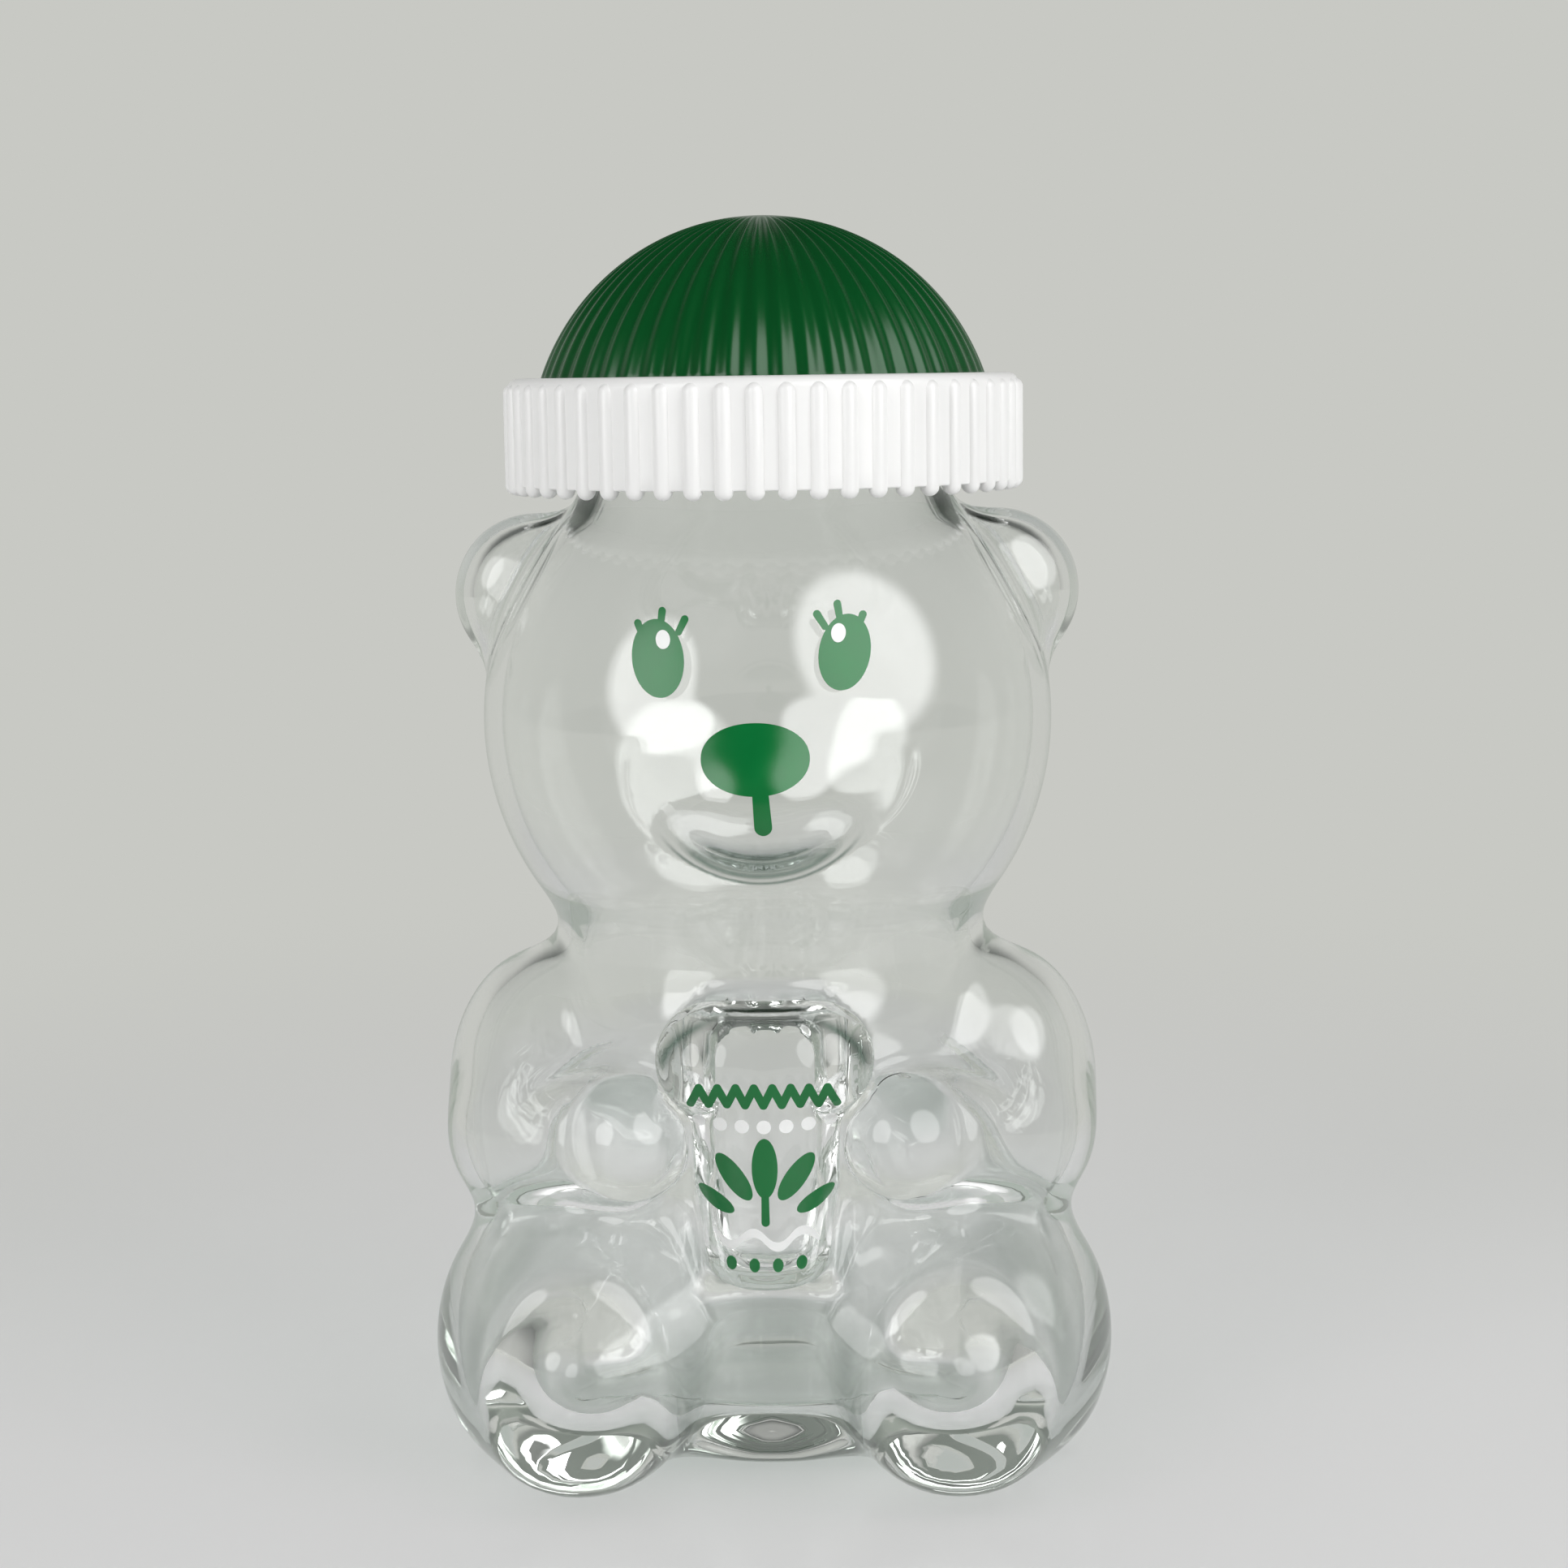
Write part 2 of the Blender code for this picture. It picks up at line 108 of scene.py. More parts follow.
NECK_BLEND = 3.5
SMILE_BLEND, BROW_BLEND = 0.9, 4.1
BROW_FOOT, BROW_RISE = 88, 9
HEAD_BLEND = 7.5
EAR_BLEND = 4
RUMP_BLEND = 12
FOREARM_BLEND = 6
ARM_BLEND = 7
FOOT_BLEND = 6
FOOT_ROOM_BLEND = 12
SOLE_BLEND, DENT_BLEND = 4, 1.2
LEG_BLEND = 10
BEAKER_FOOT_BLEND, BEAKER_TOP_BLEND = 3, 1.5
BEAKER_BLEND, BEAKER_LID_BLEND = 4, 1.1
STAND_BLEND, FLOOR_BLEND = 7.8, 6
INSIDE_SOFTNESS = 1.25


# Neck, wall and base


NECK_RADIUS = 25.5 * MM
NECK_ROOT = 137.6 * MM
LIP = 147.0 * MM
LIP_ROUNDING = 1.1 * MM
HEAD_HEIGHT = HEAD[0][2] * MM
WALL = 2.6 * MM
FLOOR = 7.5 * MM
FLOOR_RISE = 1.5 * MM
BASE_EDGE = 8.5 * MM
PUSH_UP = 0.8 * MM
DISH = 19.5 * MM
CAST_REACH = 75 * MM


# Shape of the bear as distance fields, negative inside


def ellipsoid(points, centre, radii):
    scaled = (points - np.array(centre) * MM) / (np.array(radii) * MM)
    length = np.linalg.norm(scaled, axis=-1)
    slope = np.linalg.norm(scaled / (np.array(radii) * MM), axis=-1)
    return length * (length - 1) / np.maximum(slope, 1)


def round_bar(points, start, end, start_radius, end_radius):
    start, end = np.array(start) * MM, np.array(end) * MM
    along = end - start
    share = np.clip((points - start) @ along / (along @ along), 0, 1)
    nearest = start + share[..., None] * along
    radius = (start_radius + share * (end_radius - start_radius)) * MM
    return np.linalg.norm(points - nearest, axis=-1) - radius


def joined(first, second, blend):
    blend = blend * MM
    overlap = np.maximum(blend - np.abs(first - second), 0)
    return np.minimum(first, second) - overlap**2 / (4 * blend)


def cut(first, second, blend):
    return -joined(-first, second, blend)


def head_field(points, soft):
    field = ellipsoid(points, *HEAD)
    radius = np.hypot(points[..., 0], points[..., 1])
    neck = np.maximum(radius - NECK_RADIUS, HEAD_HEIGHT - points[..., 2])
    field = joined(field, neck, NECK_BLEND)
    brow = np.clip((points[..., 2] - BROW_FOOT * MM) / (BROW_RISE * MM), 0, 1)
    blend = (SMILE_BLEND + BROW_BLEND * brow) * soft
    return joined(field, ellipsoid(points, *SNOUT), blend)


def torso_field(points):
    return joined(round_bar(points, *BELLY), ellipsoid(points, *RUMP), RUMP_BLEND)


def arm_field(sided, soft):
    shoulder = ellipsoid(sided, *SHOULDER)
    return joined(shoulder, round_bar(sided, *FOREARM), FOREARM_BLEND * soft)


def leg_field(sided, soft):
    field = joined(ellipsoid(sided, *THIGH), ellipsoid(sided, *FOOT), FOOT_BLEND * soft)
    field = cut(field, sided[..., 1] + SOLE_FRONT * MM, SOLE_BLEND * soft)
    return cut(field, ellipsoid(sided, *SOLE_DENT), DENT_BLEND)


def leg_room_field(sided, soft):
    """The room in a leg, with thick glass at the sole and the side."""
    thigh, foot = ellipsoid(sided, *THIGH_ROOM), ellipsoid(sided, *FOOT_ROOM)
    return joined(thigh, foot, FOOT_ROOM_BLEND * soft)


def beaker_field(points):
    field = round_bar(points, *BEAKER)
    field = cut(field, points[..., 2] - BEAKER_FOOT * MM, BEAKER_FOOT_BLEND)
    return cut(field, BEAKER_TOP * MM - points[..., 2], BEAKER_TOP_BLEND)


def shell_field(points, soft=1, legs=leg_field):
    sided = np.array(points, dtype=float)
    sided[..., 0] = np.abs(sided[..., 0])
    field = joined(torso_field(points), legs(sided, soft), LEG_BLEND * soft)
    field = joined(field, head_field(points, soft), HEAD_BLEND)
    field = joined(field, ellipsoid(sided, *EAR), EAR_BLEND * soft)
    field = joined(field, arm_field(sided, soft), ARM_BLEND * soft**2)
    field = joined(field, beaker_field(points), BEAKER_BLEND * soft)
    return joined(field, round_bar(points, *BEAKER_LID), BEAKER_LID_BLEND * soft)


def bear_field(points):
    return -joined(-shell_field(points), points[..., 2], STAND_BLEND)


def cavity_field(points):
    shell = shell_field(points, INSIDE_SOFTNESS, leg_room_field)
    return -joined(-shell - WALL, points[..., 2] - FLOOR, FLOOR_BLEND)


# Rings round the Z axis


def ring_angles(count):
    """Angles from the front round, crowded at the front and at both ears."""
    fine = np.linspace(-HALF_PI, 3 * HALF_PI, 40 * count + 1)
    middle = (fine[1:] + fine[:-1]) / 2
    density = np.ones_like(middle)
    crowding, spread = 1.5, 0.38
    for busy in (-HALF_PI, 0, 2 * HALF_PI, 3 * HALF_PI):
        density += crowding * np.exp(-(((middle - busy) / spread) ** 2))
    total = np.concatenate(([0], np.cumsum(density)))
    return np.interp(np.linspace(0, total[-1], count, endpoint=False), total, fine)


def cast(field, angles, height, climb):
    """Where rays from the axis leave the field, climbing at the given angle."""
    level = math.cos(climb)
    rise = np.full_like(angles, math.sin(climb))
    way = np.stack((np.cos(angles) * level, np.sin(angles) * level, rise), axis=-1)
    start = np.array((0, 0, height))
    reach = np.linspace(CAST_REACH, 0, 150)
    inside = field(start + way[:, None] * reach[:, None]) < 0
    first = np.argmax(inside, axis=1)
    far, near = reach[first - 1], reach[first]
    for _ in range(26):
        middle = (far + near) / 2
        within = field(start + way * middle[:, None]) < 0
        near = np.where(within, middle, near)
        far = np.where(within, far, middle)
    return start + way * near[:, None]


def slope_of(points, field):
    step = 0.01 * MM
    slopes = [field(points + s) - field(points - s) for s in step * np.identity(3)]
    return np.stack(slopes, axis=-1) / (2 * step)


def settled(points, field, rounds=3):
    """The points moved straight onto the skin of the field."""
    least_steepness = 0.25
    for _ in range(rounds):
        slope = slope_of(points, field)
        steepness = np.maximum((slope**2).sum(-1), least_steepness)
        points = points - (field(points) / steepness)[..., None] * slope
    return points


def relaxed(grid, field, rounds):
    """The same rings spread more evenly over the skin, the end rings held."""
    pull = 0.6
    for _ in range(rounds):
        level = (np.roll(grid, 1, axis=1) + np.roll(grid, -1, axis=1)) / 2
        upright = (grid[:-2] + grid[2:]) / 2
        middle = (level[1:-1] + upright) / 2
        moved = grid[1:-1] + pull * (middle - grid[1:-1])
        grid[1:-1] = settled(moved, field, 2)
    return grid


def doubled(grid, angles, ends):
    """Twice the rings and twice the points in each; ends makes the two end rings."""
    wide = np.repeat(grid, 2, axis=1)
    wide[:, 1::2] = (grid + np.roll(grid, -1, axis=1)) / 2
    tall = np.repeat(wide, 2, axis=0)[:-1]
    tall[1::2] = (wide[1:] + wide[:-1]) / 2
    after = np.append(angles[1:], angles[0] + TAU)
    angles = np.stack((angles, (angles + after) / 2), axis=1).ravel()
    tall[0], tall[-1] = ends(angles)
    return tall, angles


def circle(angles, radius, height):
    height = np.broadcast_to(height, angles.shape)
    return np.stack((radius * np.cos(angles), radius * np.sin(angles), height), axis=-1)


def even_angles(count):
    return np.linspace(-HALF_PI, 3 * HALF_PI, count, endpoint=False)


# Meshes


def mesh_object(name, points, faces, crease=None):
    mesh = bpy.data.meshes.new(name)
    mesh.from_pydata(np.asarray(points).tolist(), [], faces)
    mesh.validate()
    mesh.polygons.foreach_set("use_smooth", [True] * len(mesh.polygons))
    if crease is not None:
        mesh.set_sharp_from_angle(angle=crease)
    obj = bpy.data.objects.new(name, mesh)
    bpy.context.scene.collection.objects.link(obj)
    return obj


def signed_volume(mesh):
    mesh.calc_loop_triangles()
    corners = np.empty(len(mesh.vertices) * 3)
    mesh.vertices.foreach_get("co", corners)
    corners = corners.reshape(-1, 3)
    index = np.empty(len(mesh.loop_triangles) * 3, dtype=int)
    mesh.loop_triangles.foreach_get("vertices", index)
    a, b, c = (corners[index[i::3]] for i in range(3))
    return float(np.einsum("ij,ij->i", a, np.cross(b, c)).sum())


def solid_from_rows(name, rows, looped=False, crease=None):
    """A closed solid from rings of one count; a row of one point is a pole."""
    count = max(len(row) for row in rows)
    starts = np.cumsum([0] + [len(row) for row in rows])
    here = np.arange(count)
    after = (here + 1) % count
    faces = []
    pairs = list(zip(range(len(rows) - 1), range(1, len(rows))))
    if looped:
        pairs.append((len(rows) - 1, 0))
    for low, high in pairs:
        a, b = starts[low], starts[high]
        if len(rows[low]) == 1:
            faces += np.stack((np.full(count, a), b + after, b + here), 1).tolist()
        elif len(rows[high]) == 1:
            faces += np.stack((a + here, a + after, np.full(count, b)), 1).tolist()
        else:
            quads = (a + here, a + after, b + after, b + here)
            faces += np.stack(quads, 1).tolist()
    obj = mesh_object(name, np.concatenate(rows), faces, crease)
    if signed_volume(obj.data) < 0:
        obj.data.flip_normals()
    return obj


# Thread on the neck and in the cap


THREAD_LEAD = 6 * MM
THREAD_FOOT = 139.3 * MM
THREAD_TURNS = 1.05
THREAD_HALF_WIDTH = 0.75 * MM
THREAD_RUN_OUT = 0.06
NECK_THREAD_DEPTH = 1.05 * MM
CAP_THREAD_DEPTH = 1.4 * MM


def thread_bump(angles, height, low):
    """How far a right-handed thread stands proud at this height, 0 to 1."""
    bump = np.zeros_like(angles)
    for extra in range(int(THREAD_TURNS) + 2):
        turn = (angles + HALF_PI) / TAU + extra
        middle = low + THREAD_LEAD * turn
        across = np.clip(1 - ((height - middle) / THREAD_HALF_WIDTH) ** 2, 0, 1)
        ends = np.clip(np.minimum(turn, THREAD_TURNS - turn) / THREAD_RUN_OUT, 0, 1)
        bump = np.maximum(bump, np.sqrt(across) * np.sqrt(ends))
    return bump


# Glass bear


RING_POINTS = 64
EDGE_SHARES = (0.04, 0.14, 0.3, 0.52, 0.76)
FOOT_RING_SHARE = 0.95


def skin_rows(field, angles, low, edge, body_rows, head_rows):
    """Rings at the heights in edge, then evenly up the body, then over the head."""
    top_climb = math.atan2(NECK_ROOT - HEAD_HEIGHT, NECK_RADIUS)
    heights = low + (HEAD_HEIGHT - low) * np.linspace(0, 1, body_rows)
    rows = [cast(field, angles, height, 0) for height in edge + list(heights)]
    for climb in top_climb * np.linspace(0, 1, head_rows + 1)[1:-1]:
        rows.append(cast(field, angles, HEAD_HEIGHT, climb))
    return rows


def fine_skin(field, rows, angles, ends):
    """Rings spread coarsely first, then doubled twice and spread again."""
    grid = relaxed(np.stack(rows), field, 14)
    for rounds in (5, 3):
        grid, angles = doubled(grid, angles, ends)
        grid[1:-1] = settled(grid[1:-1], field)
        grid = relaxed(grid, field, rounds)
    return grid, angles


def neck_rows(angles):
    rows = []
    for height in np.linspace(NECK_ROOT, LIP - LIP_ROUNDING, 36)[1:]:
        bump = thread_bump(angles, height, THREAD_FOOT)
        rows.append(circle(angles, NECK_RADIUS + NECK_THREAD_DEPTH * bump, height))
    bore = NECK_RADIUS - WALL
    middle, half = (NECK_RADIUS + bore) / 2, WALL / 2
    for step in np.linspace(0, math.pi, 13)[1:]:
        out, rise = math.cos(step), math.sin(step)
        height = LIP - LIP_ROUNDING + LIP_ROUNDING * rise
        rows.append(circle(angles, middle + half * out, height))
    for height in np.linspace(LIP - LIP_ROUNDING, NECK_ROOT, 10)[1:-1]:
        rows.append(circle(angles, bore, height))
    return rows


def scaled_ring(ring, share, height):
    scaled = ring * share
    scaled[:, 2] = height
    return scaled


def outer_skin():
    coarse = ring_angles(RING_POINTS)
    edge = [BASE_EDGE * share for share in EDGE_SHARES]
    rows = skin_rows(bear_field, coarse, BASE_EDGE, edge, body_rows=25, head_rows=16)
    rows.append(circle(coarse, NECK_RADIUS, NECK_ROOT))

    def ends(angles):
        low = cast(bear_field, angles, edge[0], 0)
        return low, circle(angles, NECK_RADIUS, NECK_ROOT)

    return fine_skin(bear_field, rows, coarse, ends)


def inner_skin():
    coarse = ring_angles(RING_POINTS)
    low = FLOOR + FLOOR_RISE
    rows = skin_rows(cavity_field, coarse, low, [], body_rows=22, head_rows=10)
    rows.append(circle(coarse, NECK_RADIUS - WALL, NECK_ROOT))

    def ends(angles):
        ring = cast(cavity_field, angles, low, 0)
        return ring, circle(angles, NECK_RADIUS - WALL, NECK_ROOT)

    return fine_skin(cavity_field, rows, coarse, ends)[0]


def make_glass():
    outer, angles = outer_skin()
    inner = inner_skin()
    foot = scaled_ring(outer[0], FOOT_RING_SHARE, 0)
    dish_edge = circle(angles, DISH, 0)
    under = [dish_edge + (foot - dish_edge) * share for share in np.linspace(0, 1, 8)]
    dish = []
    for share in np.linspace(0, 1, 16)[1:-1]:
        lift = PUSH_UP * (1 - share**2) ** 1.5
        dish.append(circle(angles, DISH * share, lift))
    floor = []
    for share in np.linspace(0, 1, 13)[1:]:
        lift = FLOOR_RISE * share**6
        floor.append(scaled_ring(inner[0], share, FLOOR + lift))
    pole_out = np.array(((0, 0, PUSH_UP),))
    pole_in = np.array(((0, 0, FLOOR),))
    rows = [pole_out] + dish + under + list(outer) + neck_rows(angles)
    rows += list(inner[::-1]) + floor[:-1][::-1] + [pole_in]
    return solid_from_rows("bear_glass", rows)


# Lid: a ribbed dome with its skirt, the beaded brim round it and the seal in it


RIBS = 54
BRIM_TOP = 151.7 * MM
DOME_BASE = 31.1 * MM
DOME_RISE = 22 * MM
DOME_RADIUS = (DOME_BASE**2 + DOME_RISE**2) / (2 * DOME_RISE)
DOME_CENTRE = BRIM_TOP + DOME_RISE - DOME_RADIUS
DOME_WALL = 2 * MM
DOME_CREASE = 0.5
SMOOTH_DISC = 3.6 * MM
RIB_DEPTH = 0.42 * MM
RIB_FADE = 0.24
FLANGE_TOP, FLANGE_FOOT = 149.6 * MM, 148.1 * MM
FLANGE_RADIUS = 33.9 * MM
SKIRT_RADIUS, SKIRT_BORE = 29.6 * MM, 27.4 * MM
SKIRT_FOOT, BORE_FOOT = 138.2 * MM, 138.6 * MM
CAP_EDGE = 0.35 * MM
LEDGE = 149.4 * MM
LEDGE_RADIUS, LEDGE_DEPTH = 22.8 * MM, 1.5 * MM

BRIM_RADIUS, BRIM_INNER, BRIM_BORE = 35.75 * MM, 34.2 * MM, 31.4 * MM
BRIM_FOOT, BRIM_DECK = 137 * MM, BRIM_TOP - 1.8 * MM
BRIM_EDGE, BRIM_FINE_EDGE = 1.5 * MM, 0.3 * MM
BRIM_CREASE = 0.55
ROD_RADIUS = 1.27 * MM
ROD_REACH = 36.4 * MM - ROD_RADIUS
ROD_TOP = BRIM_TOP - 0.75 * MM - ROD_RADIUS

SEAL_INNER, SEAL_OUTER = 22.2 * MM, 26.6 * MM
SEAL_FOOT, SEAL_TOP, SEAL_EDGE = 147.3 * MM, 149.1 * MM, 0.5 * MM
GROOVE_OUTER, GROOVE_MIDDLE, GROOVE_INNER = 24.9 * MM, 24.4 * MM, 23.9 * MM
GROOVE_DEPTH = 0.25 * MM
SEAL_CREASE = 0.6


def arc(centre, radius, start, end, steps):
    """Profile points (radius, height) along an arc, angles in quarter turns."""
    turns = np.linspace(start, end, steps) * HALF_PI
    return [(centre[0] + radius * math.cos(t), centre[1] + radius * math.sin(t)) for t in turns]


def dome_ring(angles, radius, tilt):
    return circle(angles, radius * math.sin(tilt), DOME_CENTRE + radius * math.cos(tilt))


def dome_outside(angles):
    across = np.abs(((angles + HALF_PI) * RIBS / TAU + 0.5) % 1 - 0.5) * 2
    lobe = (1 - np.cos(math.pi * across)) / 2
    rows = [np.array(((0, 0, DOME_CENTRE + DOME_RADIUS),))]
    top = math.asin(SMOOTH_DISC / DOME_RADIUS)
    base = math.asin(DOME_BASE / DOME_RADIUS)
    tilts = list(np.linspace(0, top, 6)[1:]) + list(np.linspace(top, base, 64)[1:])
    for tilt in tilts:
        share = max(0.0, (tilt - top) / (base - top))
        grown = min(1.0, share / RIB_FADE)
        depth = RIB_DEPTH * grown * grown * (3 - 2 * grown)
        rows.append(dome_ring(angles, DOME_RADIUS - depth * lobe, tilt))
    return rows


def cap_profile():
    """The plain round parts: seat of the brim, flange, skirt and foot of the skirt."""
    r = CAP_EDGE
    points = [(DOME_BASE, FLANGE_TOP)]
    points += arc((FLANGE_RADIUS - r, FLANGE_TOP - r), r, 1, 0, 5)
    points += arc((FLANGE_RADIUS - r, FLANGE_FOOT + r), r, 0, -1, 5)
    points += [(SKIRT_RADIUS, FLANGE_FOOT)]
    heights = np.linspace(FLANGE_FOOT, SKIRT_FOOT + r, 6)[1:-1]
    points += [(SKIRT_RADIUS, height) for height in heights]
    points += arc((SKIRT_RADIUS - r, SKIRT_FOOT + r), r, 0, -1, 5)
    points += arc((SKIRT_BORE + r, SKIRT_FOOT + r), r, -1, -2, 5)
    return points


def make_dome():
    angles = even_angles(RIBS * 12)
    rows = dome_outside(angles)
    rows += [circle(angles, radius, height) for radius, height in cap_profile()]
    for height in np.linspace(BORE_FOOT, LEDGE, 40)[:-1]:
        bump = thread_bump(angles, height, THREAD_FOOT + THREAD_LEAD / 2)
        rows.append(circle(angles, SKIRT_BORE - CAP_THREAD_DEPTH * bump, height))
    ledge_top = LEDGE + LEDGE_DEPTH
    rows.append(circle(angles, SKIRT_BORE, LEDGE))
    rows.append(circle(angles, LEDGE_RADIUS, LEDGE))
    rows.append(circle(angles, LEDGE_RADIUS, ledge_top))
    inner = DOME_RADIUS - DOME_WALL
    start = math.acos((ledge_top - DOME_CENTRE) / inner)
    for tilt in np.linspace(start, 0, 24, endpoint=False):
        rows.append(dome_ring(angles, inner, tilt))
    rows.append(np.array(((0, 0, DOME_CENTRE + inner),)))
    return solid_from_rows("lid_dome", rows, crease=DOME_CREASE)


def brim_profile():
    edge, fine = BRIM_EDGE, BRIM_FINE_EDGE
    heights = np.linspace(BRIM_TOP - edge, BRIM_FOOT + fine, 8)[1:-1]
    profile = arc((BRIM_RADIUS - edge, BRIM_TOP - edge), edge, 1, 0, 9)
    profile += [(BRIM_RADIUS, height) for height in heights]
    profile += arc((BRIM_RADIUS - fine, BRIM_FOOT + fine), fine, 0, -1, 4)
    profile += arc((BRIM_INNER + fine, BRIM_FOOT + fine), fine, -1, -2, 4)
    profile += [(BRIM_INNER, BRIM_DECK), (BRIM_BORE, BRIM_DECK)]
    return profile + arc((BRIM_BORE + fine, BRIM_TOP - fine), fine, 2, 1, 4)


def make_brim():
    """A plain ring with a rounded top, joined to 54 upright rods with round ends."""
    angles = even_angles(RIBS * 8)
    rows = [circle(angles, radius, height) for radius, height in brim_profile()]
    ring = solid_from_rows("lid_brim", rows, looped=True)
    rods = make_rods()
    union = ring.modifiers.new("rods", "BOOLEAN")
    union.operation = "UNION"
    union.solver = "MANIFOLD"
    union.object = rods
    bpy.context.view_layer.update()
    graph = bpy.context.evaluated_depsgraph_get()
    mesh = bpy.data.meshes.new_from_object(ring.evaluated_get(graph))
    ring.modifiers.clear()
    ring.data = mesh
    bpy.data.objects.remove(rods)
    mesh.polygons.foreach_set("use_smooth", [True] * len(mesh.polygons))
    mesh.set_sharp_from_angle(angle=BRIM_CREASE)
    return ring


def rod_points_and_faces():
    """One upright rod with round ends, on the Z axis."""
    sides = np.linspace(0, TAU, 20, endpoint=False)
    profile = arc((0, BRIM_FOOT), ROD_RADIUS, -1, 0, 8)[1:]
    profile += arc((0, ROD_TOP), ROD_RADIUS, 0, 1, 8)[:-1]
    rows = [np.array(((0, 0, BRIM_FOOT - ROD_RADIUS),))]
    rows += [circle(sides, radius, height) for radius, height in profile]
    rows += [np.array(((0, 0, ROD_TOP + ROD_RADIUS),))]
    sample = solid_from_rows("rod", rows)
    points = np.array([v.co for v in sample.data.vertices])
    polygons = [list(p.vertices) for p in sample.data.polygons]
    bpy.data.objects.remove(sample)
    return points, polygons


def make_rods():
    base, polygons = rod_points_and_faces()
    points, faces = [], []
    for turn in even_angles(RIBS):
        start = len(points) * len(base)
        out = np.array((math.cos(turn), math.sin(turn)))
        spun = base[:, 0, None] * np.array((math.cos(turn), math.sin(turn), 0))
        spun = spun + base[:, 1, None] * np.array((-math.sin(turn), math.cos(turn), 0))
        spun[:, :2] += ROD_REACH * out
        spun[:, 2] = base[:, 2]
        points.append(spun)
        faces += [[start + i for i in polygon] for polygon in polygons]
    return mesh_object("rods", np.concatenate(points), faces)


def make_seal():
    """A flat ring with round edges and a shallow groove in its top."""
    angles = even_angles(RIBS * 4)
    r = SEAL_EDGE
    profile = arc((SEAL_INNER + r, SEAL_FOOT + r), r, -2, -1, 5)
    profile += arc((SEAL_OUTER - r, SEAL_FOOT + r), r, -1, 0, 5)
    profile += arc((SEAL_OUTER - r, SEAL_TOP - r), r, 0, 1, 5)
    groove = (GROOVE_MIDDLE, SEAL_TOP - GROOVE_DEPTH)
    profile += [(GROOVE_OUTER, SEAL_TOP), groove, (GROOVE_INNER, SEAL_TOP)]
    profile += arc((SEAL_INNER + r, SEAL_TOP - r), r, 1, 2, 5)
    rows = [circle(angles, radius, height) for radius, height in profile]
    return solid_from_rows("lid_seal", rows, looped=True, crease=SEAL_CREASE)


# Printed films: flat shapes laid on the glass from in front


AHEAD, SEARCH_DEPTH = -55 * MM, 45 * MM
FILM_LIFT, FILM_THICKNESS = 0.03, 0.05
GLINT_LIFT = 0.09
FILM_CREASE = 0.7
STROKE_END_SHARE = 0.12


def front_of(across, height):
    """Points of the bear's front skin at these places, seen along +Y."""
    reach = np.linspace(0, 1, 160)
    wide, deep = across[..., None], AHEAD + SEARCH_DEPTH * reach
    line = np.stack(np.broadcast_arrays(wide, deep, height[..., None]), axis=-1)
    first = np.argmax(bear_field(line) < 0, axis=-1)
    far = AHEAD + SEARCH_DEPTH * reach[first]
    near = AHEAD + SEARCH_DEPTH * reach[np.maximum(first - 1, 0)]
    for _ in range(22):
        middle = (near + far) / 2
        within = bear_field(np.stack((across, middle, height), axis=-1)) < 0
        far = np.where(within, middle, far)
        near = np.where(within, near, middle)
    return np.stack((across, far, height), axis=-1)


def film_edge(rows, count, closed):
    """The corners round the edge of a grid of this many rows, as one loop."""
    last = (rows - 1) * count
    if closed:
        return [last + i for i in range(count)] + [last]
    loop = list(range(count))
    loop += [row * count + count - 1 for row in range(1, rows)]
    loop += [last + i for i in range(count - 2, -1, -1)]
    return loop + [row * count for row in range(rows - 2, -1, -1)]


def film_shape(grid, closed, lift):
    """Points and faces of a thin closed film over a grid of (across, height) in mm."""
    skin = front_of(grid[..., 0] * MM, grid[..., 1] * MM)
    normal = slope_of(skin, bear_field)
    normal /= np.linalg.norm(normal, axis=-1, keepdims=True)
    low = (skin + lift * MM * normal).reshape(-1, 3)
    high = (skin + (lift + FILM_THICKNESS) * MM * normal).reshape(-1, 3)
    rows, count = grid.shape[:2]
    half = rows * count
    faces = []
    for row in range(rows - 1):
        for i in range(count if closed else count - 1):
            j = (i + 1) % count
            a, b = row * count + i, row * count + j
            c, d = b + count, a + count
            faces += [(half + a, half + b, half + c, half + d), (d, c, b, a)]
    loop = film_edge(rows, count, closed)
    faces += [(a, b, half + b, half + a) for a, b in zip(loop, loop[1:])]
    return np.concatenate((low, high)), faces


def film(name, shapes, lift=FILM_LIFT):
    """One piece of ink made of ovals and strokes; an oval is a closed grid."""
    points, faces, start = [], [], 0
    for grid, closed in shapes:
        some, sides = film_shape(grid, closed, lift)
        points.append(some)
        faces += [tuple(start + i for i in side) for side in sides]
        start += len(some)
    obj = mesh_object(name, np.concatenate(points), faces, crease=FILM_CREASE)
    clean(obj)
    return obj


def clean(obj):
    """Merge doubled points, drop empty faces and face everything outwards."""
    work = bmesh.new()
    work.from_mesh(obj.data)
    bmesh.ops.remove_doubles(work, verts=work.verts, dist=0.002 * MM)
    bmesh.ops.dissolve_degenerate(work, edges=work.edges, dist=0.001 * MM)
    bmesh.ops.recalc_face_normals(work, faces=work.faces)
    work.to_mesh(obj.data)
    work.free()


def oval(centre, halves, lean=0, power=2.0, rings=10, count=48):
    """Rings from the middle out, of an oval that leans by an angle in degrees."""
    turn = np.linspace(0, TAU, count, endpoint=False)
    ca, sa = np.cos(turn), np.sin(turn)
    across = halves[0] * np.sign(ca) * np.abs(ca) ** (2 / power)
    upward = halves[1] * np.sign(sa) * np.abs(sa) ** (2 / power)
    c, s = math.cos(math.radians(lean)), math.sin(math.radians(lean))
    edge = np.stack((across, upward), axis=-1) @ np.array(((c, s), (-s, c)))
    shares = np.linspace(0, 1, rings)[:, None, None]
    return np.array(centre) + shares * edge, True


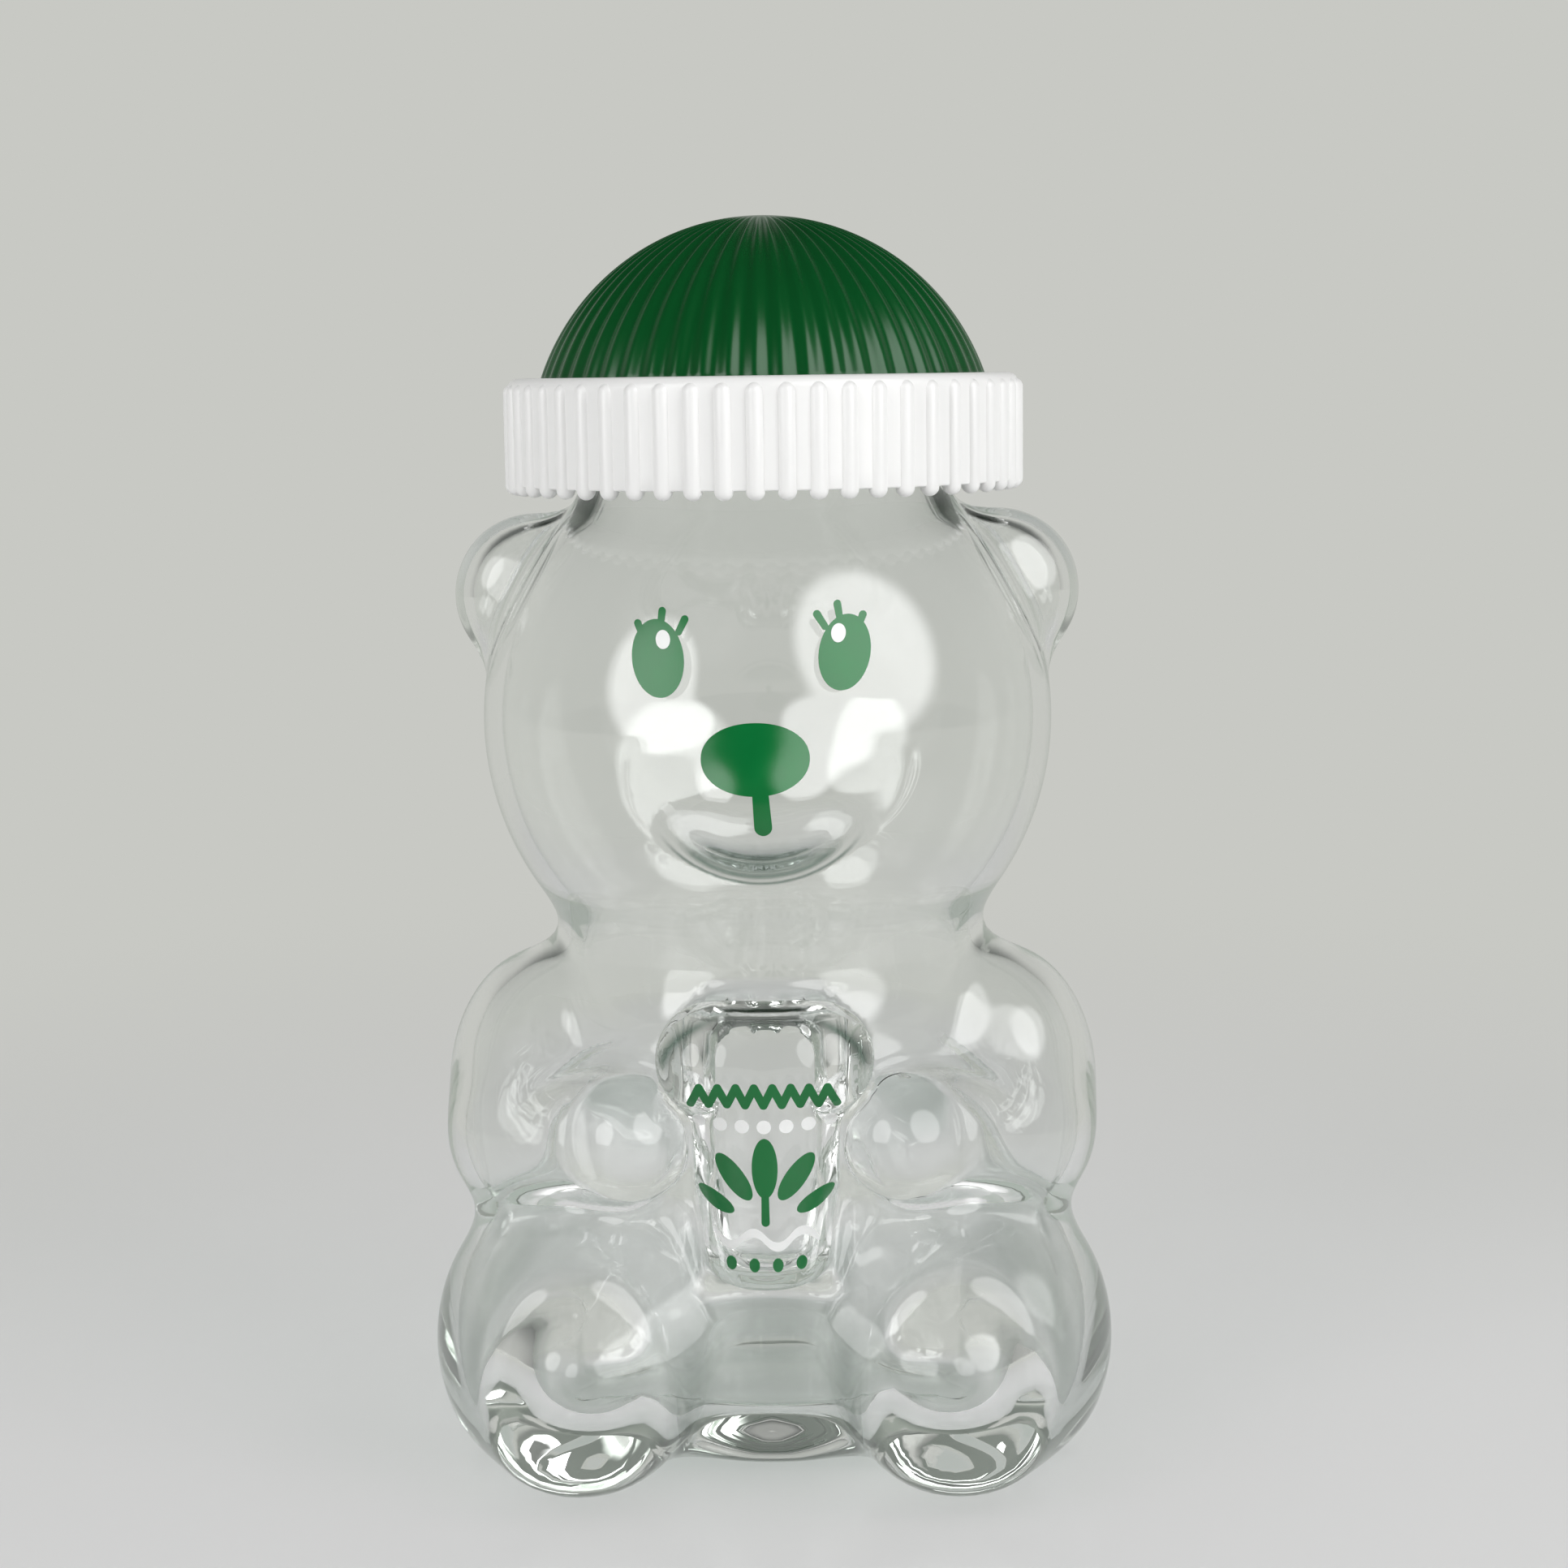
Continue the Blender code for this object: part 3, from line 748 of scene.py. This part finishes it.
def stroke(start, end, start_half, end_half, bend=0.0, steps=14):
    """A bar with round ends from start to end, as a grid of rows across it."""
    start, end = np.array(start, float), np.array(end, float)
    along = end - start
    length = np.linalg.norm(along)
    along /= length
    side = np.array((-along[1], along[0]))
    rows = []
    for turn in np.linspace(0, HALF_PI, 6):
        back = -math.cos(turn) * start_half
        rows.append((back, max(math.sin(turn), STROKE_END_SHARE) * start_half))
    for share in np.linspace(0, 1, steps)[1:-1]:
        rows.append((share * length, start_half + share * (end_half - start_half)))
    for turn in np.linspace(HALF_PI, 0, 6):
        ahead = length + math.cos(turn) * end_half
        rows.append((ahead, max(math.sin(turn), STROKE_END_SHARE) * end_half))
    grid = []
    for place, half in rows:
        sag = bend * (1 - (2 * place / length - 1) ** 2)
        middle = start + along * place + side * sag
        grid.append([middle + side * half * across for across in np.linspace(-1, 1, 5)])
    return np.array(grid), False


# Face, in mm across and up: eyes as centre, half sizes, lean and glint, lashes as ends


EYES = {
    "right": ((-13.05, 115.5), (3.45, 5.0), 6, (-12.35, 117.9)),
    "left": ((11.2, 116.1), (3.35, 4.85), -10, (10.4, 118.55)),
}
LASHES = {
    "right": (
        ((-15.1, 118.3), (-15.75, 119.9)),
        ((-12.7, 119.8), (-12.5, 121.5)),
        ((-10.3, 118.9), (-9.5, 120.5)),
    ),
    "left": (
        ((8.7, 119.4), (7.65, 121.0)),
        ((10.6, 120.4), (10.3, 122.2)),
        ((12.9, 119.0), (13.6, 120.75)),
    ),
}
LASH_HALVES = (0.44, 0.5)
GLINT_HALVES = (0.95, 1.2)
NOSE_CENTRE, NOSE_HALVES, NOSE_FULLNESS = (-0.4, 103.05), (7.0, 4.45), 2.1
MOUTH_BAR = ((0.3, 98.9), (0.6, 94.6), 1.05, 1.15)


def make_face():
    """Eyes with three lashes each, an oval nose and a short bar below it."""
    green, white = [], []
    for side, (centre, halves, lean, glint) in EYES.items():
        shapes = [oval(centre, halves, lean)]
        shapes += [stroke(start, end, *LASH_HALVES, steps=6) for start, end in LASHES[side]]
        for number, shape in enumerate(shapes):
            green.append(film("eye_%s_%d" % (side, number), [shape]))
        spot = oval(glint, GLINT_HALVES, lean / 2, rings=5, count=28)
        white.append(film("glint_" + side, [spot], GLINT_LIFT))
    nose = oval(NOSE_CENTRE, NOSE_HALVES, 0, NOSE_FULLNESS, rings=14, count=72)
    green.append(film("nose", [nose]))
    green.append(film("mouth_bar", [stroke(*MOUTH_BAR)]))
    return green, white


# Pattern on the beaker, in mm across and up


ZIGZAG_LOW, ZIGZAG_HIGH, ZIGZAG_STEP, ZIGZAG_COUNT = 57.4, 59.9, 2.4, 8
ZIGZAG_START, ZIGZAG_HALF = -9.6, 0.55
DOT_HEIGHT, DOT_STEP, DOT_HALVES = 54.4, 2.9, (0.95, 0.95)
TOP_LEAF = ((0, 48.6), (1.7, 4.2))
SIDE_LEAVES = ((4.1, 47.2, (1.45, 3.7), -36), (6.6, 43.5, (1.15, 2.7), -64))
STEM = ((0, 45.0), (0, 41.0), 0.5, 0.55)
WAVE_HEIGHT, WAVE_START, WAVE_STEP, WAVE_HALF, WAVE_BEND = 38.5, -6.4, 3.2, 0.65, 1.0
SEED_HEIGHT, SEED_START, SEED_STEP, SEED_HALVES = 34.9, 4.65, 3.1, (0.7, 1.0)


def zigzag_strokes():
    strokes = []
    half = ZIGZAG_HALF
    for step in range(ZIGZAG_COUNT):
        start = ZIGZAG_START + ZIGZAG_STEP * step
        low = (start, ZIGZAG_LOW)
        high = (start + ZIGZAG_STEP / 2, ZIGZAG_HIGH)
        strokes.append(stroke(low, high, half, half, steps=5))
        strokes.append(stroke(high, (start + ZIGZAG_STEP, ZIGZAG_LOW), half, half, steps=5))
    return strokes


def leaf_shapes():
    leaves = [oval(*TOP_LEAF)]
    for side in (-1, 1):
        for across, height, halves, lean in SIDE_LEAVES:
            leaves.append(oval((across * side, height), halves, lean * side))
    return leaves + [stroke(*STEM)]


def wave_strokes():
    strokes = []
    for step in range(4):
        start = WAVE_START + WAVE_STEP * step
        bend = WAVE_BEND if step % 2 else -WAVE_BEND
        ends = (start, WAVE_HEIGHT), (start + WAVE_STEP, WAVE_HEIGHT)
        strokes.append(stroke(*ends, WAVE_HALF, WAVE_HALF, bend, steps=8))
    return strokes


def row_of_ovals(places, height, halves):
    return [oval((across, height), halves, rings=4, count=24) for across in places]


def make_pattern():
    """The beaker's own pattern: a zigzag, dots, a sprig of leaves, a wave and seeds."""
    dots = [DOT_STEP * step for step in range(-3, 4)]
    seeds = [SEED_STEP * step - SEED_START for step in range(4)]
    green = [film("zigzag", zigzag_strokes()), film("leaves", leaf_shapes())]
    green.append(film("seeds", row_of_ovals(seeds, SEED_HEIGHT, SEED_HALVES)))
    white = [film("dots", row_of_ovals(dots, DOT_HEIGHT, DOT_HALVES))]
    white.append(film("wave", wave_strokes()))
    return green, white


# Helpers for shader nodes


def put(tree, socket, value):
    """Feeds a socket from an output, or sets it; a colour gets an alpha of 1."""
    if isinstance(value, bpy.types.NodeSocket):
        tree.links.new(value, socket)
    elif socket.type == "RGBA":
        socket.default_value = (*value, 1)
    else:
        socket.default_value = value


def set_inputs(shader, **values):
    for name, value in values.items():
        shader.inputs[name.replace("_", " ")].default_value = value


def new_material(name):
    material = bpy.data.materials.new(name)
    material.use_nodes = True
    return material, material.node_tree


def object_place(tree):
    return tree.nodes.new("ShaderNodeTexCoord").outputs["Object"]


def light_path(tree):
    return tree.nodes.new("ShaderNodeLightPath").outputs


def maths(tree, operation, *values):
    node = tree.nodes.new("ShaderNodeMath")
    node.operation = operation
    for number, value in enumerate(values):
        put(tree, node.inputs[number], value)
    return node.outputs["Value"]


def vector_maths(tree, operation, *values):
    node = tree.nodes.new("ShaderNodeVectorMath")
    node.operation = operation
    for number, value in enumerate(values):
        put(tree, node.inputs[number], value)
    return node.outputs["Value" if operation in ("DOT_PRODUCT", "LENGTH") else "Vector"]


def fade(tree, value, start, end, low=0.0, high=1.0):
    """A smooth ramp: low where value is start, high where it is end."""
    ramp = tree.nodes.new("ShaderNodeMapRange")
    ramp.interpolation_type = "SMOOTHSTEP"
    put(tree, ramp.inputs["Value"], value)
    put(tree, ramp.inputs["From Min"], start)
    put(tree, ramp.inputs["From Max"], end)
    put(tree, ramp.inputs["To Min"], low)
    put(tree, ramp.inputs["To Max"], high)
    return ramp.outputs["Result"]


def parts_of(tree, vector):
    split = tree.nodes.new("ShaderNodeSeparateXYZ")
    tree.links.new(vector, split.inputs["Vector"])
    return split.outputs


def mixed_colour(tree, share, first, second):
    node = tree.nodes.new("ShaderNodeMix")
    node.data_type = "RGBA"
    put(tree, node.inputs["Factor"], share)
    put(tree, node.inputs["A"], first)
    put(tree, node.inputs["B"], second)
    return node.outputs["Result"]


def mixed_shader(tree, share, first, second):
    node = tree.nodes.new("ShaderNodeMixShader")
    put(tree, node.inputs["Fac"], share)
    put(tree, node.inputs[1], first)
    put(tree, node.inputs[2], second)
    return node.outputs["Shader"]


def plain_shader(tree, kind, colour):
    node = tree.nodes.new("ShaderNode" + kind)
    put(tree, node.inputs["Color"], colour)
    return node.outputs[0]


def noise(tree, place, scale, detail):
    node = tree.nodes.new("ShaderNodeTexNoise")
    set_inputs(node, Scale=scale, Detail=detail)
    put(tree, node.inputs["Vector"], place)
    return node.outputs["Fac"]


def bumps(tree, height, strength, distance):
    node = tree.nodes.new("ShaderNodeBump")
    set_inputs(node, Strength=strength, Distance=distance)
    put(tree, node.inputs["Height"], height)
    return node.outputs["Normal"]


# Glass: clear and a little greener where it is seen edge on, with painted shade darkening those
# edges, most so in the thick legs, painted shade lines under the snout and on the beaker's lid,
# and a faint painted glow for rays that mirror too often


GLASS_IOR = 1.5
GLASS_TINT = (0.965, 0.975, 0.967)
# painted shade: the glass's edges darkened where seen edge on, standing in for the dim
# surroundings they bend into view; the green cast is the glass's own
GLASS_EDGE_PAINTED_SHADE = (0.28, 0.33, 0.30)
# painted shade laid in the crease under the snout and along the edge of the beaker's lid
GLASS_PAINTED_SHADE = (0.10, 0.16, 0.13)
GLASS_SHADOW = (0.93, 0.95, 0.94)
GLASS_END = (0.72, 0.74, 0.72)
# painted glow: faint light the glass gives to rays that have mirrored too often
GLASS_PAINTED_GLOW = (0.06, 0.066, 0.06)
EDGE_FROM, LEG_EDGE_FROM = 0.78, 0.2
LEG_EDGE_LOW, LEG_EDGE_HIGH = 14 * MM, 44 * MM
RIPPLE_SCALE, RIPPLE_DETAIL = 38.0, 2.0
RIPPLE_STRENGTH, RIPPLE_DISTANCE = 0.06, 0.001
MOST_MIRRORINGS = 3.5
# where the painted shade lines lie, in units of the snout and of the lid
SNOUT_SHADE_RADIUS, SNOUT_SHADE_HALF_WIDTH = 1.01, 0.045
SNOUT_SHADE_FADE = (-0.35, -0.7)
LID_SHADE = ((0, -30, 61.5), (14.4, 100000, 8.3))
LID_SHADE_RADIUS, LID_SHADE_HALF_WIDTH = 0.93, 0.12
LID_SHADE_FOOT_FADE = (-0.1, 0.15)
LID_SHADE_SIDE_FADE = (0.05, 0.7)
LID_SHADE_DEPTH_FADE = (-24 * MM, -28 * MM)


def scaled_place(tree, place, centre, radii):
    """The place as seen from centre, with radii as the unit on each axis."""
    shifted = vector_maths(tree, "SUBTRACT", place, Vector(centre) * MM)
    return vector_maths(tree, "DIVIDE", shifted, Vector(radii) * MM)


def ring_share(tree, vector, radius, half_width):
    """1 where the vector's length is radius, fading to 0 at half_width from it."""
    off = maths(tree, "SUBTRACT", vector_maths(tree, "LENGTH", vector), radius)
    return fade(tree, maths(tree, "ABSOLUTE", off), half_width, 0)


def snout_crease_painted_shade(tree, place):
    """Painted shade in the crease below the snout: 1 there, fading to 0 above it and to both
    sides.
    """
    vector = scaled_place(tree, place, *SNOUT)
    line = ring_share(tree, vector, SNOUT_SHADE_RADIUS, SNOUT_SHADE_HALF_WIDTH)
    below = fade(tree, parts_of(tree, vector)["Z"], *SNOUT_SHADE_FADE)
    return maths(tree, "MULTIPLY", line, below)


def lid_edge_painted_shade(tree, place):
    """Painted shade on the steep edge of the beaker's lid: 1 there, least at the top and none
    behind.
    """
    vector = scaled_place(tree, place, *LID_SHADE)
    parts = parts_of(tree, vector)
    line = ring_share(tree, vector, LID_SHADE_RADIUS, LID_SHADE_HALF_WIDTH)
    above = fade(tree, parts["Z"], *LID_SHADE_FOOT_FADE)
    beside = fade(tree, maths(tree, "ABSOLUTE", parts["X"]), *LID_SHADE_SIDE_FADE)
    ahead = fade(tree, parts_of(tree, place)["Y"], *LID_SHADE_DEPTH_FADE)
    share = maths(tree, "MULTIPLY", line, ahead)
    return maths(tree, "MULTIPLY", maths(tree, "MULTIPLY", share, above), beside)


def glass_tint_and_painted_shade(tree, place):
    facing = tree.nodes.new("ShaderNodeLayerWeight")
    facing.inputs["Blend"].default_value = 0.5
    height = parts_of(tree, place)["Z"]
    start = fade(tree, height, LEG_EDGE_LOW, LEG_EDGE_HIGH, LEG_EDGE_FROM, EDGE_FROM)
    # painted edge shade, reaching further in from the edge low in the legs
    edge = fade(tree, facing.outputs["Facing"], start, 1.0)
    tint_and_edge_shade = mixed_colour(tree, edge, GLASS_TINT, GLASS_EDGE_PAINTED_SHADE)
    # painted shade lines in the snout's crease and on the lid's edge
    dark = maths(tree, "MAXIMUM", snout_crease_painted_shade(tree, place), lid_edge_painted_shade(tree, place))
    return mixed_colour(tree, dark, tint_and_edge_shade, GLASS_PAINTED_SHADE)


def glass_material():
    """Glass that stops bending a ray after a few mirrorings, letting it through with a faint
    painted glow that stands in for the room light it would pick up, and lets shadow rays by.
    """
    material, tree = new_material("clear_glass")
    shader = tree.nodes["Principled BSDF"]
    set_inputs(shader, Roughness=0.0, IOR=GLASS_IOR, Transmission_Weight=1.0)
    place = object_place(tree)
    put(tree, shader.inputs["Base Color"], glass_tint_and_painted_shade(tree, place))
    ripple = noise(tree, place, RIPPLE_SCALE, RIPPLE_DETAIL)
    normal = bumps(tree, ripple, RIPPLE_STRENGTH, RIPPLE_DISTANCE)
    put(tree, shader.inputs["Normal"], normal)
    path = light_path(tree)
    spent = maths(tree, "GREATER_THAN", path["Glossy Depth"], MOST_MIRRORINGS)
    end = tree.nodes.new("ShaderNodeAddShader")
    put(tree, end.inputs[0], plain_shader(tree, "BsdfTransparent", GLASS_END))
    # a faint painted glow, standing in for the room light a trapped ray would pick up
    put(tree, end.inputs[1], plain_shader(tree, "Emission", GLASS_PAINTED_GLOW))
    body = mixed_shader(tree, spent, shader.outputs["BSDF"], end.outputs["Shader"])
    clear = plain_shader(tree, "BsdfTransparent", GLASS_SHADOW)
    surface = mixed_shader(tree, path["Is Shadow Ray"], body, clear)
    put(tree, tree.nodes["Material Output"].inputs["Surface"], surface)
    return material


# Plastics and inks: colour, deeper colour, roughness, cloud scale, bump strength, shine


PLASTICS = {
    "green_plastic": ((0.0005, 0.068, 0.013), (0.0005, 0.056, 0.010), 0.24, 60, 0.05, 0.4),
    "white_plastic": ((0.86, 0.86, 0.85), (0.82, 0.82, 0.81), 0.32, 60, 0.05, 0.5),
    "milky_silicone": ((0.74, 0.75, 0.74), (0.68, 0.69, 0.68), 0.5, 80, 0.1, 0.5),
    "green_print": ((0.0005, 0.150, 0.032), (0.0005, 0.130, 0.027), 0.22, 300, 0.1, 0.5),
    "white_print": ((0.85, 0.86, 0.85), (0.8, 0.81, 0.8), 0.35, 300, 0.1, 0.5),
}
CLOUD_DETAIL = 3.0
SKIN_SCALE, SKIN_DETAIL, SKIN_BUMP = 900.0, 2.0, 0.0001
LEAST_ROUGH, MOST_ROUGH = 0.8, 1.2


def plastic_material(name):
    """Moulded plastic: a little cloudiness in colour and gloss, and a fine skin."""
    colour, deep, roughness, cloud_scale, bump_strength, shine = PLASTICS[name]
    material, tree = new_material(name)
    shader = tree.nodes["Principled BSDF"]
    set_inputs(shader, IOR=1.5, Specular_IOR_Level=shine)
    place = object_place(tree)
    cloud = noise(tree, place, cloud_scale, CLOUD_DETAIL)
    put(tree, shader.inputs["Base Color"], mixed_colour(tree, cloud, deep, colour))
    gloss = tree.nodes.new("ShaderNodeMapRange")
    put(tree, gloss.inputs["Value"], cloud)
    put(tree, gloss.inputs["To Min"], roughness * LEAST_ROUGH)
    put(tree, gloss.inputs["To Max"], roughness * MOST_ROUGH)
    put(tree, shader.inputs["Roughness"], gloss.outputs["Result"])
    skin = noise(tree, place, SKIN_SCALE, SKIN_DETAIL)
    put(tree, shader.inputs["Normal"], bumps(tree, skin, bump_strength, SKIN_BUMP))
    return material


# Surroundings: what the camera sees, what glass bends into view, floor and lamps


BACKDROP = (0.578, 0.584, 0.552)
ROOM_BEHIND = (0.16, 0.165, 0.16)
ROOM_FADE = (-0.5, 0.75)
CEILING = (0.04, 0.042, 0.04)
CEILING_THROUGH_GLASS = (0.12, 0.127, 0.12)
CEILING_FADE = (0.2, 0.75)
EVEN_LIGHT = (0.36, 0.36, 0.36)
CARD_LIGHT = (4.0, 4.0, 4.0)
CARD_EDGE = (1.04, 0.84)
SOFT_CARDS = ((-46, 16, 19, 24), (46, 27, 30, 32))
FLOOR_HALF, FLOOR_DROP = 1.6, 0.2 * MM
FLOOR_GREY, FLOOR_ROUGHNESS = 0.9, 0.18
FLOOR_FADE = (0.06, 0.42)
LAMPS = (("soft_box_left", -44, 24, (0.34, 0.6)), ("soft_box_right", 56, 22, (0.5, 0.6)))
LAMP_DISTANCE, LAMP_RADIANCE = 0.9, 5
LAMP_TARGET = (0, 0, 0.09)


def way_to(azimuth, elevation):
    """Azimuth 0 is straight in front of the bear, + to the right, in degrees."""
    a, e = math.radians(azimuth), math.radians(elevation)
    return Vector((math.sin(a) * math.cos(e), -math.cos(a) * math.cos(e), math.sin(e)))


def soft_card(tree, direction, azimuth, elevation, half_width, half_height):
    """How far a ray's direction lies in a soft oval of light: 1 inside, 0 outside."""
    ahead = way_to(azimuth, elevation)
    side = Vector((math.cos(math.radians(azimuth)), math.sin(math.radians(azimuth)), 0))
    up = ahead.cross(side)
    wide = side / math.sin(math.radians(half_width))
    tall = up / math.sin(math.radians(half_height))
    plane = tree.nodes.new("ShaderNodeCombineXYZ")
    put(tree, plane.inputs["X"], vector_maths(tree, "DOT_PRODUCT", direction, wide))
    put(tree, plane.inputs["Y"], vector_maths(tree, "DOT_PRODUCT", direction, tall))
    away = vector_maths(tree, "LENGTH", plane.outputs["Vector"])
    before = vector_maths(tree, "DOT_PRODUCT", direction, ahead)
    share = fade(tree, away, *CARD_EDGE)
    return maths(tree, "MULTIPLY", share, maths(tree, "GREATER_THAN", before, 0.0))


def room_colour(tree, path):
    """What mirrored and bent rays see: the backdrop, a dim room and ceiling, cards."""
    way = tree.nodes.new("ShaderNodeTexCoord").outputs["Generated"]
    parts = parts_of(tree, way)
    depth = path["Transmission Depth"]
    unturned = maths(tree, "LESS_THAN", path["Glossy Depth"], 0.5)
    straight = maths(tree, "MULTIPLY", unturned, maths(tree, "GREATER_THAN", depth, 1.5))
    behind = mixed_colour(tree, straight, ROOM_BEHIND, BACKDROP)
    walls = mixed_colour(tree, fade(tree, parts["Y"], *ROOM_FADE), behind, BACKDROP)
    through = maths(tree, "MINIMUM", depth, 1.0)
    overhead = mixed_colour(tree, through, CEILING, CEILING_THROUGH_GLASS)
    colour = mixed_colour(tree, fade(tree, parts["Z"], *CEILING_FADE), walls, overhead)
    for card in SOFT_CARDS:
        colour = mixed_colour(tree, soft_card(tree, way, *card), colour, CARD_LIGHT)
    return colour


def make_world():
    world = bpy.data.worlds.new("studio")
    bpy.context.scene.world = world
    world.use_nodes = True
    tree = world.node_tree
    pale = tree.nodes["Background"]
    put(tree, pale.inputs["Color"], BACKDROP)
    pale.inputs["Strength"].default_value = 1.0
    path = light_path(tree)
    room = plain_shader(tree, "Background", room_colour(tree, path))
    even = plain_shader(tree, "Background", EVEN_LIGHT)
    bent = maths(tree, "MAXIMUM", path["Is Glossy Ray"], path["Is Transmission Ray"])
    unseen = mixed_shader(tree, bent, even, room)
    sky = mixed_shader(tree, path["Is Camera Ray"], unseen, pale.outputs["Background"])
    put(tree, tree.nodes["World Output"].inputs["Surface"], sky)


def make_floor():
    """A floor that takes the shadow near the glass and turns into backdrop further off."""
    half = FLOOR_HALF
    corners = [(-half, -half, 0), (half, -half, 0), (half, half, 0), (-half, half, 0)]
    floor = mesh_object("floor", np.array(corners) + (0, 0, -FLOOR_DROP), [(0, 1, 2, 3)])
    material, tree = new_material("floor")
    shader = tree.nodes["Principled BSDF"]
    grey = (FLOOR_GREY, FLOOR_GREY, FLOOR_GREY, 1)
    set_inputs(shader, Base_Color=grey, Roughness=FLOOR_ROUGHNESS)
    far = vector_maths(tree, "LENGTH", object_place(tree))
    direct = maths(tree, "SUBTRACT", 1.0, light_path(tree)["Is Diffuse Ray"])
    share = maths(tree, "MULTIPLY", fade(tree, far, *FLOOR_FADE), direct)
    glow = plain_shader(tree, "Emission", BACKDROP)
    surface = mixed_shader(tree, share, shader.outputs["BSDF"], glow)
    put(tree, tree.nodes["Material Output"].inputs["Surface"], surface)
    floor.data.materials.append(material)


def make_lamp(name, azimuth, elevation, size):
    """A soft box that faces the glass and shows only in what it lights."""
    data = bpy.data.lights.new(name, "AREA")
    data.shape = "RECTANGLE"
    data.size, data.size_y = size
    data.energy = LAMP_RADIANCE * math.pi * size[0] * size[1]
    lamp = bpy.data.objects.new(name, data)
    bpy.context.scene.collection.objects.link(lamp)
    way = way_to(azimuth, elevation)
    lamp.location = Vector(LAMP_TARGET) + LAMP_DISTANCE * way
    lamp.rotation_euler = way.to_track_quat("Z", "Y").to_euler()
    lamp.visible_camera = False
    lamp.visible_glossy = False
    lamp.visible_transmission = False


# Put together


def finish_piece(obj, material, slot, body, *nodes):
    obj.data.materials.clear()
    obj.data.materials.append(material)
    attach(obj, body)
    if nodes:
        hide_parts(*nodes)


make_world()
make_floor()
for lamp_values in LAMPS:
    make_lamp(*lamp_values)

glass = glass_material()
green_lid, white_lid, milky, green_ink, white_ink = (plastic_material(n) for n in PLASTICS)

finish_piece(make_glass(), glass, "clear_glass", "glass", "glass_body")
finish_piece(make_dome(), green_lid, "green_plastic", "lid", "dome_cap")
finish_piece(make_brim(), white_lid, "white_plastic", "lid", "brim_ring")
finish_piece(make_seal(), milky, "milky_silicone", "seal", "seal_gasket")
for maker in (make_face, make_pattern):
    green_films, white_films = maker()
    for piece in green_films:
        finish_piece(piece, green_ink, "green_plastic", "glass")
    for piece in white_films:
        finish_piece(piece, white_ink, "white_plastic", "glass")
